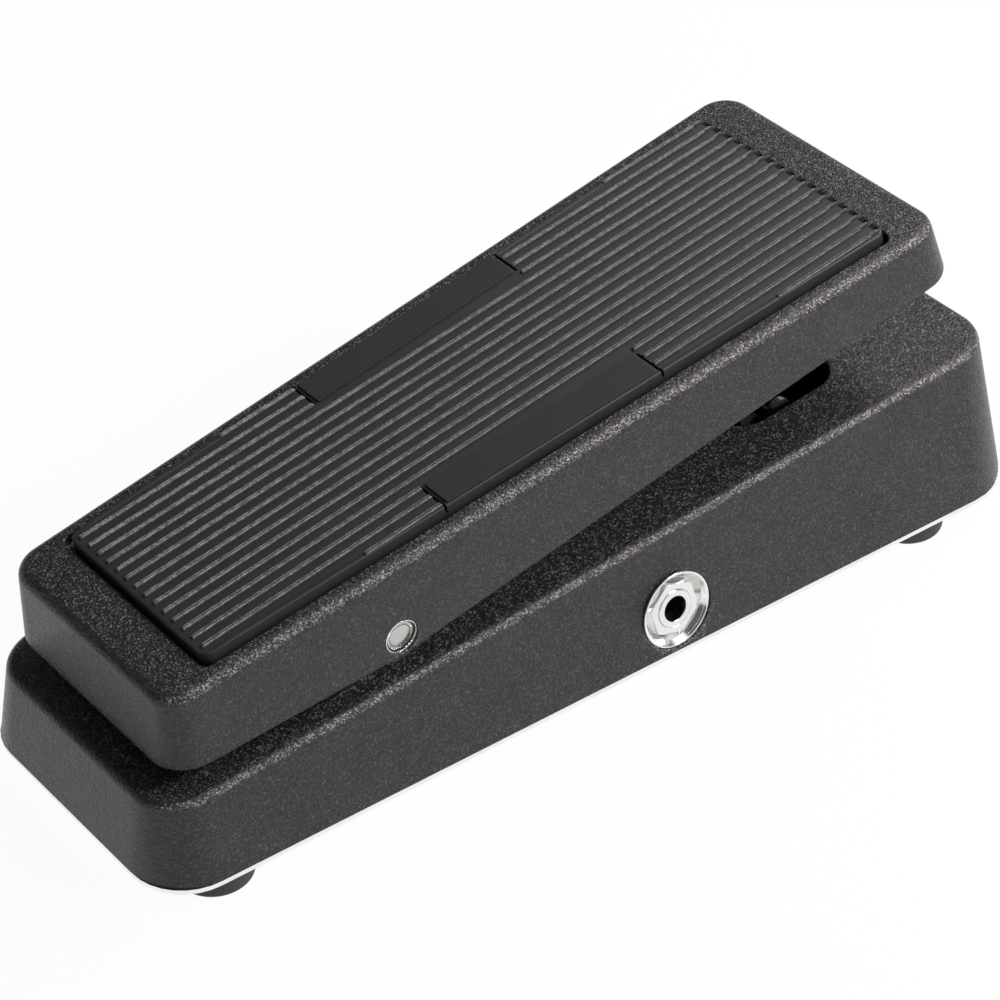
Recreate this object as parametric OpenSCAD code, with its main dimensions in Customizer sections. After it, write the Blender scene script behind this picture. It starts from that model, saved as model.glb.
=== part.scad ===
// Rocker volume pedal: a cast wedge housing on rubber feet, with a cast treadle that rocks on a
// steel rod. A toothed rack hangs from the treadle and turns the potentiometer through a pinion.
// Origin: middle of the housing's footprint, on the ground. +Y points to the toe end, +Z up.

/* [Housing] */
// Length of the housing along its bottom edge
base_length = 254; // [215:1:305]
// Width of the heel end along the bottom edge
base_heel_width = 80.5; // [76:0.5:100]
// Width of the toe end along the bottom edge
base_toe_width = 101.6; // [92:0.1:122]
// Height of the casting at the heel end
base_heel_height = 21; // [20:0.5:26]
// Slope of the top face, rising from the heel to the toe, in degrees
base_slope = 4.502; // [4.4:0.002:5]
// Draft of the long side walls, in degrees
base_side_draft = 11.5; // [6:0.5:12]
// Draft of the two end walls, in degrees
base_end_draft = 10; // [4:0.5:12]
// Radius of the heel corners at the bottom edge
base_heel_corner = 16.5; // [14:0.5:22]
// Radius of the toe corners at the bottom edge
base_toe_corner = 20.4; // [18:0.5:26]
// Fillet round the top face
base_fillet = 2.5; // [1:0.5:4]
// Wall thickness of the housing
base_wall = 3; // [2.4:0.2:3.4]
// Thickness of the steel bottom plate
plate_thickness = 1.2; // [1:0.1:2.5]
// How far the plate stays inside the housing's edge
plate_inset = 0.4; // [0:0.1:1.5]

/* [Feet] */
// Height of the rubber feet
foot_height = 4.6; // [4.2:0.2:10]
// Radius of a foot where it meets the plate
foot_top_radius = 9.2; // [7:0.2:10]
// Radius of a foot at the ground
foot_bottom_radius = 9.2; // [6:0.1:9.5]
// Distance from the housing's side edge to a foot's centre
foot_inset = 9.6; // [9.2:0.2:13]
// Distance from the heel end to the heel feet
heel_foot_y = 18; // [15:0.5:26]
// Distance from the toe end to the toe feet
toe_foot_y = 33.8; // [22:0.2:45]

/* [Treadle] */
// Distance from the housing's heel end to the pivot
pivot_from_heel = 69.4; // [64:0.2:78]
// Height of the pivot above the housing's top face
pivot_rise = 10.6; // [10:0.2:15]
// Length of the treadle behind the pivot
treadle_behind = 57.4; // [52:0.2:60]
// Length of the treadle in front of the pivot
treadle_ahead = 163.4; // [150:0.2:170]
// Width of the treadle's top face at the heel
treadle_heel_width = 65; // [64:0.5:74]
// Width of the treadle's top face at the toe
treadle_toe_width = 79; // [76:0.5:90]
// Height of the treadle's top face above the pivot
treadle_top = 19.1; // [18:0.1:23]
// Depth of the skirt at the pivot, where it is deepest
skirt_pivot = 24.1; // [22:0.1:26]
// Depth of the skirt at the heel
skirt_heel = 19.6; // [17:0.1:20]
// Depth of the skirt at the toe
skirt_toe = 15.6; // [13:0.1:17]
// Draft of the treadle's side walls, in degrees
treadle_side_draft = 4.4; // [2:0.2:6]
// Draft of the treadle's end walls, in degrees
treadle_end_draft = 10.3; // [4:0.1:12]
// Corner radius of the treadle's top face
treadle_corner = 8; // [5:0.5:12]
// Fillet round the treadle's top face
treadle_fillet = 3; // [1:0.5:4]
// Wall thickness of the treadle
treadle_wall = 3; // [2.4:0.2:3.4]
// Slope of the treadle with the heel down, in degrees
treadle_tilt = 8.65; // [8:0.05:10]
// Angle that the treadle rocks through, in degrees
treadle_travel = 8.5; // [7:0.1:8.8]

/* [Tread pad] */
// Distance from the pivot back to the heel end of the recess
recess_behind = 44.5; // [40:0.5:48]
// Distance from the pivot forward to the toe end of the recess
recess_ahead = 152; // [130:0.5:153]
// Strip of bare casting at each side of the recess
recess_border = 4.1; // [3.6:0.1:8]
// Depth of the recess
recess_depth = 1; // [0.6:0.1:1.6]
// Gap round the pad in its recess
pad_gap = 1.4; // [0.2:0.1:2]
// Extra gap at the heel end of the pad
pad_heel_gap = 0.2; // [0:0.1:2]
// Extra gap at the toe end of the pad
pad_toe_gap = 0.8; // [0:0.1:3]
// Height of the pad's floor above the casting
pad_rise = 1.5; // [1:0.1:3]
// Height of the ridges on the pad
ridge_height = 0.9; // [0.5:0.1:1.5]
// Width of a ridge
ridge_width = 1.1; // [0.6:0.1:1.8]
// Distance from ridge to ridge
ridge_pitch = 3.74; // [3:0.02:5]
// Smooth rim round the ridged area
pad_rim = 1.6; // [1:0.1:3]
// Length of the smooth panel at each long edge
panel_length = 61.6; // [40:0.2:80]
// Distance from the pivot forward to the smooth panels
panel_start = 21.5; // [10:0.5:40]
// Width of a smooth panel
panel_width = 9.2; // [6:0.2:12]

/* [Pivot] */
// Radius of the pivot rod
rod_radius = 3; // [2.5:0.1:3.4]
// Radius of the rod's knurled head
rod_head_radius = 3.95; // [3.6:0.05:4.6]
// How far the rod's ends stay inside the treadle's side faces
rod_recess = 0.8; // [0.2:0.1:1.5]
// Outer radius of the bushings
bushing_radius = 4.5; // [4:0.1:5]
// Outer radius of a pivot lug
lug_radius = 7; // [6:0.2:7.4]
// Thickness of a pivot lug
lug_thickness = 6.5; // [5:0.1:8]
// Radial clearance of the rod in its bushings
rod_clearance = 0.04; // [0.01:0.01:0.1]

/* [Rack and pinion] */
// Distance from the pivot to the rack pin, along the treadle
rack_arm = 120; // [112:0.5:126]
// Height of the rack pin above the pivot, square to the treadle
rack_pin_height = 6; // [5.4:0.1:7]
// Middle of the rack and pinion, to the right of the centre line
rack_x = 16; // [12:0.5:18]
// Width of the rack
rack_width = 5; // [4:0.2:6]
// Length of the rack below its pin
rack_length = 42; // [40:0.1:43]
// Gear module
gear_module = 1; // [1:0.1:1]
// Number of teeth on the pinion
pinion_teeth = 13; // [13:1:13]
// Thinning of every tooth flank, for running clearance
flank_clearance = 0.11; // [0.08:0.01:0.2]
// Height of the pinion's axis above the ground
pinion_height = 28; // [27.4:0.1:28.2]
// Distance from the rack's pin, heel down, forward to the pinion's axis
pinion_ahead = 7.8; // [7.4:0.1:8.2]
// Radius of the flange that keeps the rack on the pinion
pinion_flange_radius = 8.4; // [7.8:0.1:9]
// Radius of the rack pin
rack_pin_radius = 1.5; // [1.2:0.1:1.8]

/* [Slot] */
// Width of the slot that the rack passes through
slot_width = 16; // [14:0.5:18]
// Middle of the slot, to the right of the centre line
slot_x = 17.5; // [15:0.5:18]
// Distance from the slot's heel end back from the pinion's axis
slot_behind = 18; // [14:0.5:20]
// Distance from the slot's toe end forward from the pinion's axis
slot_ahead = 15.5; // [12:0.5:18]

/* [Potentiometer] */
// Radius of the potentiometer's can
pot_radius = 8; // [7:0.1:8]
// Depth of the potentiometer's can
pot_depth = 9.5; // [8:0.1:12]
// Radius of its threaded bushing
pot_bushing_radius = 3.5; // [3.4:0.1:4]
// Radius of its shaft
pot_shaft_radius = 3; // [2:0.05:3.1]
// Thickness of the bracket's steel
bracket_thickness = 1.5; // [1:0.1:1.6]

/* [Jacks] */
// Distance from the housing's heel end forward to the jacks
jack_from_heel = 142.1; // [132:0.1:149]
// Height of a jack's centre above the ground
jack_z = 16.8; // [16:0.1:19]
// Upward tilt of the jacks, in degrees
jack_tilt = 8; // [6:0.5:8]
// Radius of the hole for a quarter-inch plug
plug_bore_radius = 3.25; // [3.2:0.01:3.4]
// Radius of the jack's threaded bushing
jack_bushing_radius = 4.75; // [4.5:0.05:5]
// Radius of the dished ferrule's rim
ferrule_radius = 9.85; // [9.4:0.05:10.2]
// Depth of the ferrule's dish
ferrule_depth = 3; // [2:0.1:3.2]
// Width of the jack nut across its flats
jack_nut_flats = 12.7; // [12:0.1:13]
// Length of the jack's frame inside the housing
jack_frame_length = 22; // [18:0.5:23]

/* [Hidden] */
$fn = 64;
hull_fn = 32;
eps = 0.02;
slit = 0.3;      // gap left at a stop or beside a moving face
thread_play = 0.03;  // play of a screw in its tapped hole

// Housing
edge_z = foot_height + plate_thickness;
half_length = base_length / 2;
base_toe_height = base_heel_height + base_length * tan(base_slope);
function base_top(y) = edge_z + base_heel_height + (y + half_length) * tan(base_slope);
base_taper = (base_toe_width - base_heel_width) / 2 / base_length;
function base_half_width(y) = base_heel_width / 2 + base_taper * (y + half_length);
function base_side_x(y, z) = base_half_width(y) - (z - edge_z) * tan(base_side_draft);

// Treadle
pivot_y = pivot_from_heel - half_length;
pivot_z = base_top(pivot_y) + pivot_rise;
treadle_taper = (treadle_toe_width - treadle_heel_width) / 2 / (treadle_behind + treadle_ahead);
function treadle_half_width(y) = treadle_heel_width / 2 + treadle_taper * (y + treadle_behind);
treadle_inner_top = treadle_top - treadle_wall - 0.5;
pivot_side_x = treadle_half_width(0) + treadle_top * tan(treadle_side_draft);
boss_face_x = pivot_side_x - treadle_wall - 0.8;
flange_thickness = 1;
lug_outer_x = boss_face_x - flange_thickness - 0.5;
lug_inner_x = lug_outer_x - lug_thickness;
pivot_boss_radius = lug_radius + 0.4;

// Bumpers and the ribs that meet them
bumper_radius = 7;
heel_bumper_height = 5.6;
toe_bumper_height = 4.5;
heel_stop_y = pivot_y - treadle_behind + 12.9;
toe_stop_y = pivot_y + treadle_ahead - 13.8;
stop_rib_width = 18;
stop_rib_depth = 12;

// Pad
recess_radius = 2.5;
pad_behind = recess_behind - pad_gap - pad_heel_gap;
pad_ahead = recess_ahead - pad_gap - pad_toe_gap;
pad_border = recess_border + pad_gap;
pad_radius = 2.2;
ridge_count = 2 * floor(treadle_toe_width / 2 / ridge_pitch);

// Rack pin at rest, in the housing's frame
pin_y = pivot_y + rack_arm * cos(treadle_tilt) - rack_pin_height * sin(treadle_tilt);
pin_z = pivot_z + rack_arm * sin(treadle_tilt) + rack_pin_height * cos(treadle_tilt);

// Pinion, and the point where the rack's pitch line touches its pitch circle
tooth_pitch = PI * gear_module;
pitch_radius = gear_module * pinion_teeth / 2;
pinion_y = pin_y + pinion_ahead;
pinion_z = pinion_height;
pin_to_pinion = norm([pinion_y - pin_y, pinion_z - pin_z]);
rack_heading = atan2(pinion_z - pin_z, pinion_y - pin_y) - asin(pitch_radius / pin_to_pinion);
rack_lean = rack_heading + 90;
mesh_distance = sqrt(pin_to_pinion * pin_to_pinion - pitch_radius * pitch_radius);
rack_addendum = 0.85 * gear_module;
rack_dedendum = 1.25 * gear_module;
rack_back = rack_dedendum + 3;
rack_first_tooth = 17.5;
rack_eye_radius = 4;
pressure_angle = 20;
pinion_tip_radius = pitch_radius + 0.85 * gear_module;
pinion_root_radius = pitch_radius - 1.25 * gear_module;

// Places along the pinion's axis, from left to right
pinion_width = rack_width + 1.6;
pinion_left = rack_x - pinion_width / 2;
hub_length = 3.8;
hub_left = pinion_left - hub_length;
hub_radius = 5.4;
shaft_right = pinion_left + pinion_width + 1.4;
pot_front = hub_left - 5.8;
pot_bushing_length = 5.4;
pot_nut_flats = 10;
pot_nut_thickness = 2.2;
pot_washer_thickness = 0.5;
block_depth = 5;
block_face_y = pinion_y - pot_radius - 1;
lug_length = 4.5;
lug_pitch = 5;

// Bracket
bracket_top = pinion_z + pot_radius + slit + bracket_thickness;
bracket_bottom = pinion_z - 11;
bracket_heel_y = pinion_y - 17;
bracket_toe_y = pinion_y + 9;
tab_left = pot_front - 17;
bracket_boss_x = pot_front - 8.5;
bracket_boss_radius = 4.5;
bracket_screw_radius = 1.5;
bracket_screw_ys = [pinion_y - 10.6, pinion_y + 10.6];
guide_face_y = pinion_y - pitch_radius - rack_back - 0.45;
guide_height = 7;
keeper_left = shaft_right + 0.7;
keeper_radius = 3;
keeper_y = pinion_y - 2.1;
keeper_top = base_top(keeper_y) - 0.3;

// Screws
foot_screw_radius = 1.9;
foot_screw_head = 3.5;
foot_screw_head_height = 2;
foot_counterbore = 2.6;
foot_screw_top = edge_z + 10;
foot_boss_height = 13;
foot_boss_radius = 5;

// Jacks, along their own axis: 0 is the ferrule's rim, and negative goes into the housing
jack_y = jack_from_heel - half_length;
jack_x = base_side_x(jack_y, jack_z) + 0.2;
rim_thickness = 0.5;
ferrule_floor = 1;
seat_depth = ferrule_depth + ferrule_floor;
wall_at_jack = 2.5;
jack_washer_thickness = 0.6;
frame_face = -(seat_depth + wall_at_jack + jack_washer_thickness);
jack_nut_thickness = 2.1;
jack_boss_radius = 12;
cup_radius = ferrule_radius - 0.95;
jack_frame_width = 16;
jack_frame_height = 12;
plug_bore_length = 9.3;
bushing_end = jack_nut_thickness - ferrule_depth + 0.2;
frame_end = frame_face - jack_frame_length;
tab_end = frame_end - 5;
tip_tab_offset = 3.75;
sleeve_tab_offset = 4.75;
tab_thickness = 0.5;

// Wires
wire_radius = 0.8;
tab_reach = jack_x + tab_end * cos(jack_tilt) - 0.15;
function tab_x(offset) = tab_reach - offset * sin(jack_tilt);
function tab_z(offset) = jack_z + tab_end * sin(jack_tilt) + offset * cos(jack_tilt);
hot_x = tab_x(tip_tab_offset);
hot_z = tab_z(tip_tab_offset);
earth_x = tab_x(-sleeve_tab_offset);
earth_z = tab_z(-sleeve_tab_offset);
lug_x = pot_front - 1.9;
lug_end_y = block_face_y - lug_length;
wire_routes = [
  [[lug_x, lug_end_y, pinion_z + lug_pitch], [lug_x, lug_end_y - 7, pinion_z + lug_pitch],
   [4, jack_y + 14.9, 24], [4, jack_y, hot_z], [hot_x, jack_y, hot_z]],
  [[lug_x, lug_end_y, pinion_z], [lug_x, lug_end_y - 6, pinion_z],
   [-4, jack_y + 16.9, 22], [-4, jack_y, hot_z], [-hot_x, jack_y, hot_z]],
  [[lug_x, lug_end_y, pinion_z - lug_pitch], [lug_x, lug_end_y - 5, pinion_z - lug_pitch],
   [-2, jack_y + 18.9, 14], [-4, jack_y, earth_z], [-earth_x, jack_y, earth_z]],
  [[earth_x, jack_y, earth_z], [4, jack_y, earth_z], [3, jack_y + 14.9, 9],
   [-12, jack_y + 34.9, 12], [pot_front - pot_depth - 6, pinion_y, 24],
   [pot_front - pot_depth, pinion_y, 24]]
];

foot_spots = [
  for (side = [-1, 1], y = [heel_foot_y - half_length, half_length - toe_foot_y])
    [side * (base_half_width(y) - foot_inset), y, 0]
];

// Corner points of an outline: a trapezoid from y0 to y1, with half widths w0 and w1 there and
// corners of radius r0 and r1.
function arc(cx, cy, r, from, to, steps = 8) =
  [for (i = [0:steps]) [cx + r * cos(from + (to - from) * i / steps),
                        cy + r * sin(from + (to - from) * i / steps)]];
function rounded_trapezoid(y0, y1, w0, w1, r0, r1) =
  let (lean = atan((w1 - w0) / (y1 - y0)))
  let (side = function(y, r) w0 + (w1 - w0) * (y - y0) / (y1 - y0) - r / cos(lean))
  concat(
    arc(side(y0 + r0, r0), y0 + r0, r0, -90, -lean),
    arc(side(y1 - r1, r1), y1 - r1, r1, -lean, 90),
    arc(-side(y1 - r1, r1), y1 - r1, r1, 90, 180 + lean),
    arc(-side(y0 + r0, r0), y0 + r0, r0, 180 + lean, 270)
  );

module on_base_top(y) translate([0, y, base_top(y)]) rotate([base_slope, 0, 0]) children();
module on_treadle() translate([0, pivot_y, pivot_z]) rotate([treadle_tilt, 0, 0]) children();
module at_pivot() translate([0, pivot_y, pivot_z]) rotate([0, 90, 0]) children();
module at_pinion(x) translate([x, pinion_y, pinion_z]) rotate([0, 90, 0]) children();
module at_rack() translate([0, pin_y, pin_z]) rotate([rack_lean, 0, 0]) children();
module at_jack(side) mirror([side < 0 ? 1 : 0, 0, 0])
  translate([jack_x, jack_y, jack_z]) rotate([0, 90 - jack_tilt, 0]) children();
module both_sides() {
  children();
  mirror([1, 0, 0]) children();
}

// A thin disc, and a rounded ring, that a hull stretches into a drafted corner.
module disc(r) cylinder(r = r, h = eps, $fn = hull_fn);
module rounded_ring(r, fillet) translate([0, 0, -fillet])
  rotate_extrude($fn = hull_fn) translate([r - fillet, 0]) circle(r = fillet, $fn = hull_fn);

// One corner of the housing at a height above its bottom edge, inset by a wall.
function base_corner(end, rise, wall) =
  let (corner = end < 0 ? base_heel_corner : base_toe_corner)
  let (r = corner - rise * tan(base_side_draft) - wall)
  let (y = end * (half_length - rise * tan(base_end_draft) - wall - r))
  let (lean = atan(base_taper))
  [base_half_width(y) - (rise * tan(base_side_draft) + wall + r) / cos(lean), y, r];

module base_outer() hull() {
  for (side = [-1, 1], end = [-1, 1]) {
    low = base_corner(end, 0, 0);
    translate([side * low[0], low[1], edge_z]) disc(low[2]);
    high = base_corner(end, end < 0 ? base_heel_height : base_toe_height, 0);
    translate([side * high[0], high[1], base_top(high[1])]) rotate([base_slope, 0, 0])
      rounded_ring(high[2], base_fillet);
  }
}

module base_inner() hull() {
  for (side = [-1, 1], end = [-1, 1]) {
    low = base_corner(end, -1, base_wall);
    translate([side * low[0], low[1], edge_z - 1]) disc(low[2]);
    rise = (end < 0 ? base_heel_height : base_toe_height) - base_wall;
    high = base_corner(end, rise, base_wall);
    translate([side * high[0], high[1], base_top(high[1]) - base_wall]) rotate([base_slope, 0, 0])
      translate([0, 0, -eps]) disc(high[2]);
  }
}

module pivot_lug() translate([lug_inner_x, pivot_y, 0]) {
  translate([0, 0, pivot_z]) rotate([0, 90, 0]) cylinder(r = lug_radius, h = lug_thickness);
  foot_y = lug_radius + 3;
  rotate([90, 0, 90]) linear_extrude(lug_thickness) polygon([
    [-foot_y, base_top(pivot_y - foot_y) - 1.5], [foot_y, base_top(pivot_y + foot_y) - 1.5],
    [lug_radius, pivot_z], [-lug_radius, pivot_z]
  ]);
}

module base_bosses() {
  for (spot = foot_spots) translate([spot[0], spot[1], edge_z])
    cylinder(r = foot_boss_radius, h = foot_boss_height);
  for (side = [-1, 1]) at_jack(side)
    translate([0, 0, -seat_depth - wall_at_jack]) cylinder(r = jack_boss_radius, h = 12);
  for (y = bracket_screw_ys) translate([bracket_boss_x, y, bracket_top])
    cylinder(r = bracket_boss_radius, h = 12);
}

module base_cuts() {
  for (spot = foot_spots) translate([spot[0], spot[1], edge_z - 1])
    cylinder(r = foot_screw_radius + thread_play, h = foot_boss_height);
  for (side = [-1, 1]) at_jack(side) {
    translate([0, 0, -12]) cylinder(r = jack_bushing_radius + 0.15, h = 20);
    translate([0, 0, -seat_depth]) cylinder(r = cup_radius + 0.1, h = 20);
    translate([0, 0, -rim_thickness]) cylinder(r = ferrule_radius + 0.15, h = 20);
  }
  for (y = bracket_screw_ys) translate([bracket_boss_x, y, bracket_top - 1])
    cylinder(r = bracket_screw_radius + thread_play - 0.1, h = 5);
  at_pivot() translate([0, 0, -50]) cylinder(r = bushing_radius + 0.02, h = 100);
  slot_length = slot_behind + slot_ahead;
  translate([slot_x, pinion_y - slot_behind, pinion_z + 6]) {
    translate([-slot_width / 2, slot_width / 2, 0])
      cube([slot_width, slot_length - slot_width, 20]);
    for (y = [slot_width / 2, slot_length - slot_width / 2]) translate([0, y, 0])
      cylinder(r = slot_width / 2, h = 20);
  }
}

module base_housing() color("#3a383b") difference() {
  union() {
    difference() {
      base_outer();
      base_inner();
    }
    intersection() {
      base_outer();
      base_bosses();
    }
    both_sides() pivot_lug();
  }
  base_cuts();
}

module bottom_plate() color("silver") translate([0, 0, foot_height]) difference() {
  linear_extrude(plate_thickness) polygon(rounded_trapezoid(
    -half_length + plate_inset, half_length - plate_inset,
    base_half_width(-half_length) - plate_inset, base_half_width(half_length) - plate_inset,
    base_heel_corner - 2, base_toe_corner - 2
  ));
  for (spot = foot_spots) translate([spot[0], spot[1], -1]) cylinder(r = 2.1, h = 5);
}

module rubber_feet() color("#2b2b2d") for (spot = foot_spots) translate(spot)
  rotate_extrude() polygon([
    [foot_screw_head + 0.5, 0], [foot_bottom_radius - 0.8, 0], [foot_bottom_radius, 0.8],
    [foot_top_radius, foot_height], [2.1, foot_height], [2.1, foot_counterbore],
    [foot_screw_head + 0.5, foot_counterbore]
  ]);

module foot_screws() color("silver") for (spot = foot_spots)
  translate([spot[0], spot[1], foot_counterbore]) {
    cylinder(r = foot_screw_radius, h = foot_screw_top - foot_counterbore);
    difference() {
      translate([0, 0, -foot_screw_head_height])
        cylinder(r1 = foot_screw_head - 0.5, r2 = foot_screw_head, h = foot_screw_head_height);
      for (turn = [0, 90]) translate([0, 0, -foot_screw_head_height]) rotate([0, 0, turn])
        cube([0.9, 4.2, 2], center = true);
    }
  }

module heel_bumper() color("#202022") on_base_top(heel_stop_y)
  cylinder(r = bumper_radius, h = heel_bumper_height);

module toe_bumper() color("#202022") on_base_top(toe_stop_y)
  cylinder(r = bumper_radius, h = toe_bumper_height);

module pivot_bushings() color("ivory") both_sides() at_pivot() translate([0, 0, lug_inner_x])
  difference() {
    union() {
      cylinder(r = bushing_radius, h = lug_thickness);
      translate([0, 0, lug_thickness]) cylinder(r = lug_radius - 0.5, h = flange_thickness);
    }
    translate([0, 0, -1])
      cylinder(r = rod_radius + rod_clearance, h = lug_thickness + flange_thickness + 2);
  }

// One corner of the treadle at a depth below its top face, inset by a wall.
function treadle_corner_at(end, depth, wall) =
  let (r = treadle_corner + depth * tan(treadle_side_draft) - wall)
  let (reach = (end < 0 ? treadle_behind : treadle_ahead) + depth * tan(treadle_end_draft) - wall)
  let (y = end * (reach - r))
  let (lean = atan(treadle_taper))
  let (flare = depth * tan(treadle_side_draft) - wall - r)
  [treadle_half_width(y) + flare / cos(lean), y, r];

module treadle_outer() hull() {
  for (side = [-1, 1]) {
    for (end = [-1, 1]) {
      high = treadle_corner_at(end, 0, 0);
      translate([side * high[0], high[1], treadle_top]) rounded_ring(high[2], treadle_fillet);
      depth = end < 0 ? skirt_heel : skirt_toe;
      low = treadle_corner_at(end, depth, 0);
      translate([side * low[0], low[1], treadle_top - depth]) disc(low[2]);
    }
    flank = treadle_half_width(0) + skirt_pivot * tan(treadle_side_draft);
    translate([side * (flank - 1), 0, treadle_top - skirt_pivot]) disc(1);
  }
}

module treadle_inner() hull() {
  for (side = [-1, 1], end = [-1, 1]) {
    high = treadle_corner_at(end, treadle_top - treadle_inner_top, treadle_wall);
    translate([side * high[0], high[1], treadle_inner_top - eps]) disc(high[2]);
    low = treadle_corner_at(end, skirt_pivot + 2, treadle_wall);
    translate([side * low[0], low[1], treadle_top - skirt_pivot - 2]) disc(low[2]);
  }
}

ear_gap = rack_width + 0.6;
ear_thickness = 3;
module rack_ears() for (side = [-1, 1])
  translate([rack_x + side * (ear_gap + ear_thickness) / 2 - ear_thickness / 2, rack_arm, 0]) {
    translate([0, 0, rack_pin_height]) rotate([0, 90, 0]) cylinder(r = 4, h = ear_thickness);
    translate([0, -4, rack_pin_height])
      cube([ear_thickness, 8, treadle_inner_top - rack_pin_height + 0.5]);
  }

// The ribs end square to the housing's top face where they land on their bumpers.
module stop_ribs() {
  on_base_top(heel_stop_y)
    translate([-stop_rib_width / 2, -stop_rib_depth / 2, heel_bumper_height + slit])
      cube([stop_rib_width, stop_rib_depth, 30]);
  translate([0, pivot_y, pivot_z]) rotate([treadle_travel, 0, 0])
    translate([0, -pivot_y, -pivot_z]) on_base_top(toe_stop_y)
      translate([-stop_rib_width / 2, -stop_rib_depth / 2, toe_bumper_height + slit])
        cube([stop_rib_width, stop_rib_depth, 30]);
}

module treadle() color("#3a383b") difference() {
  union() {
    on_treadle() {
      difference() {
        treadle_outer();
        treadle_inner();
      }
      rack_ears();
    }
    intersection() {
      on_treadle() treadle_outer();
      union() {
        stop_ribs();
        both_sides() at_pivot() translate([0, 0, boss_face_x])
          cylinder(r = pivot_boss_radius, h = 10);
      }
    }
  }
  on_treadle() {
    translate([0, 0, treadle_top - recess_depth]) linear_extrude(10) polygon(rounded_trapezoid(
      -recess_behind, recess_ahead,
      treadle_half_width(-recess_behind) - recess_border,
      treadle_half_width(recess_ahead) - recess_border,
      recess_radius, recess_radius
    ));
    translate([pin_left, rack_arm, rack_pin_height]) rotate([0, 90, 0])
      cylinder(r = rack_pin_radius + thread_play, h = pin_right - pin_left);
  }
  at_pivot() translate([0, 0, boss_face_x - 1]) cylinder(r = rod_head_radius + 0.03, h = 20);
  at_pivot() translate([0, 0, -60]) cylinder(r = rod_radius + 0.03, h = 60);
}

function pad_half_width(y) = treadle_half_width(y) - pad_border;

// Strips for the ridges, cut to the pad's outline and kept off the two smooth panels.
module ridge_strips() difference() {
  intersection() {
    polygon(rounded_trapezoid(
      -pad_behind + pad_rim, pad_ahead,
      pad_half_width(-pad_behind) - pad_rim / 2, pad_half_width(pad_ahead) - pad_rim / 2, 1, 1
    ));
    for (i = [-ridge_count / 2:ridge_count / 2 - 1])
      translate([(i + 0.5) * ridge_pitch - ridge_width / 2, -pad_behind])
        square([ridge_width, pad_behind + pad_ahead]);
  }
  panel_end = panel_start + panel_length;
  for (side = [-1, 1]) polygon([
    [side * (pad_half_width(panel_start) - panel_width), panel_start],
    [side * pad_half_width(panel_start), panel_start],
    [side * pad_half_width(panel_end), panel_end],
    [side * (pad_half_width(panel_end) - panel_width), panel_end]
  ]);
}

module tread_pad() color("#1d1e20") on_treadle() {
  translate([0, 0, treadle_top - recess_depth]) linear_extrude(recess_depth + pad_rise)
    polygon(rounded_trapezoid(
      -pad_behind, pad_ahead, pad_half_width(-pad_behind), pad_half_width(pad_ahead),
      pad_radius, pad_radius
    ));
  translate([0, 0, treadle_top + pad_rise]) linear_extrude(ridge_height) ridge_strips();
}

module pivot_rod() color("lightsteelblue") at_pivot() {
  head_left = boss_face_x + 0.2;
  translate([0, 0, -pivot_side_x + rod_recess])
    cylinder(r = rod_radius, h = pivot_side_x - rod_recess + head_left);
  translate([0, 0, head_left])
    cylinder(r = rod_head_radius, h = pivot_side_x - rod_recess - head_left);
}

// Half thickness of a rack tooth at a height above the pitch line.
function rack_half(height) =
  tooth_pitch / 4 - flank_clearance - height * tan(pressure_angle);
rack_teeth = floor((rack_length - rack_first_tooth) / tooth_pitch);
rack_phase = mesh_distance - floor((mesh_distance - rack_first_tooth) / tooth_pitch) * tooth_pitch;

module rack() color("ivory") at_rack() translate([rack_x - rack_width / 2, 0, 0])
  difference() {
    union() {
      rotate([90, 0, 90]) linear_extrude(rack_width) polygon(concat(
        [[-rack_back, -rack_length], [-rack_back, 0], [gear_module, 0],
         [gear_module, -rack_first_tooth + 1.2], [-rack_dedendum, -rack_first_tooth + 0.4]],
        [for (k = [0:rack_teeth - 1], side = [1, -1], root = [side > 0, side < 0])
          let (middle = -(rack_phase + (k + 0.5) * tooth_pitch))
          let (height = root ? -rack_dedendum : rack_addendum)
          if (middle - tooth_pitch / 2 > -rack_length)
            [height, middle + side * rack_half(height)]],
        [[-rack_dedendum, -rack_length]]
      ));
      rotate([0, 90, 0]) cylinder(r = rack_eye_radius, h = rack_width);
    }
    translate([-1, 0, 0]) rotate([0, 90, 0])
      cylinder(r = rack_pin_radius + 0.06, h = rack_width + 2);
  }

pin_left = rack_x - ear_gap / 2 - ear_thickness - 0.2;
pin_right = rack_x + ear_gap / 2 + ear_thickness + 2.2;
clip_left = pin_right - 1.7;
clip_thickness = 0.6;
groove_radius = rack_pin_radius - 0.4;
module rack_pin() color("silver") on_treadle() translate([0, rack_arm, rack_pin_height])
  rotate([0, 90, 0]) {
    translate([0, 0, pin_left - 1]) cylinder(r = rack_pin_radius + 1.1, h = 1);
    translate([0, 0, pin_left]) cylinder(r = rack_pin_radius, h = clip_left - pin_left);
    translate([0, 0, clip_left]) cylinder(r = groove_radius, h = clip_thickness);
    translate([0, 0, clip_left + clip_thickness])
      cylinder(r = rack_pin_radius, h = pin_right - clip_left - clip_thickness);
  }

module rack_pin_clip() color("gray") on_treadle()
  translate([clip_left + 0.05, rack_arm, rack_pin_height]) rotate([0, 90, 0]) difference() {
    cylinder(r = rack_pin_radius + 1.6, h = clip_thickness - 0.1);
    translate([0, 0, -1]) cylinder(r = groove_radius + 0.02, h = 3);
    translate([0, -groove_radius, -1]) cube([5, 2 * groove_radius, 3]);
  }

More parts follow.
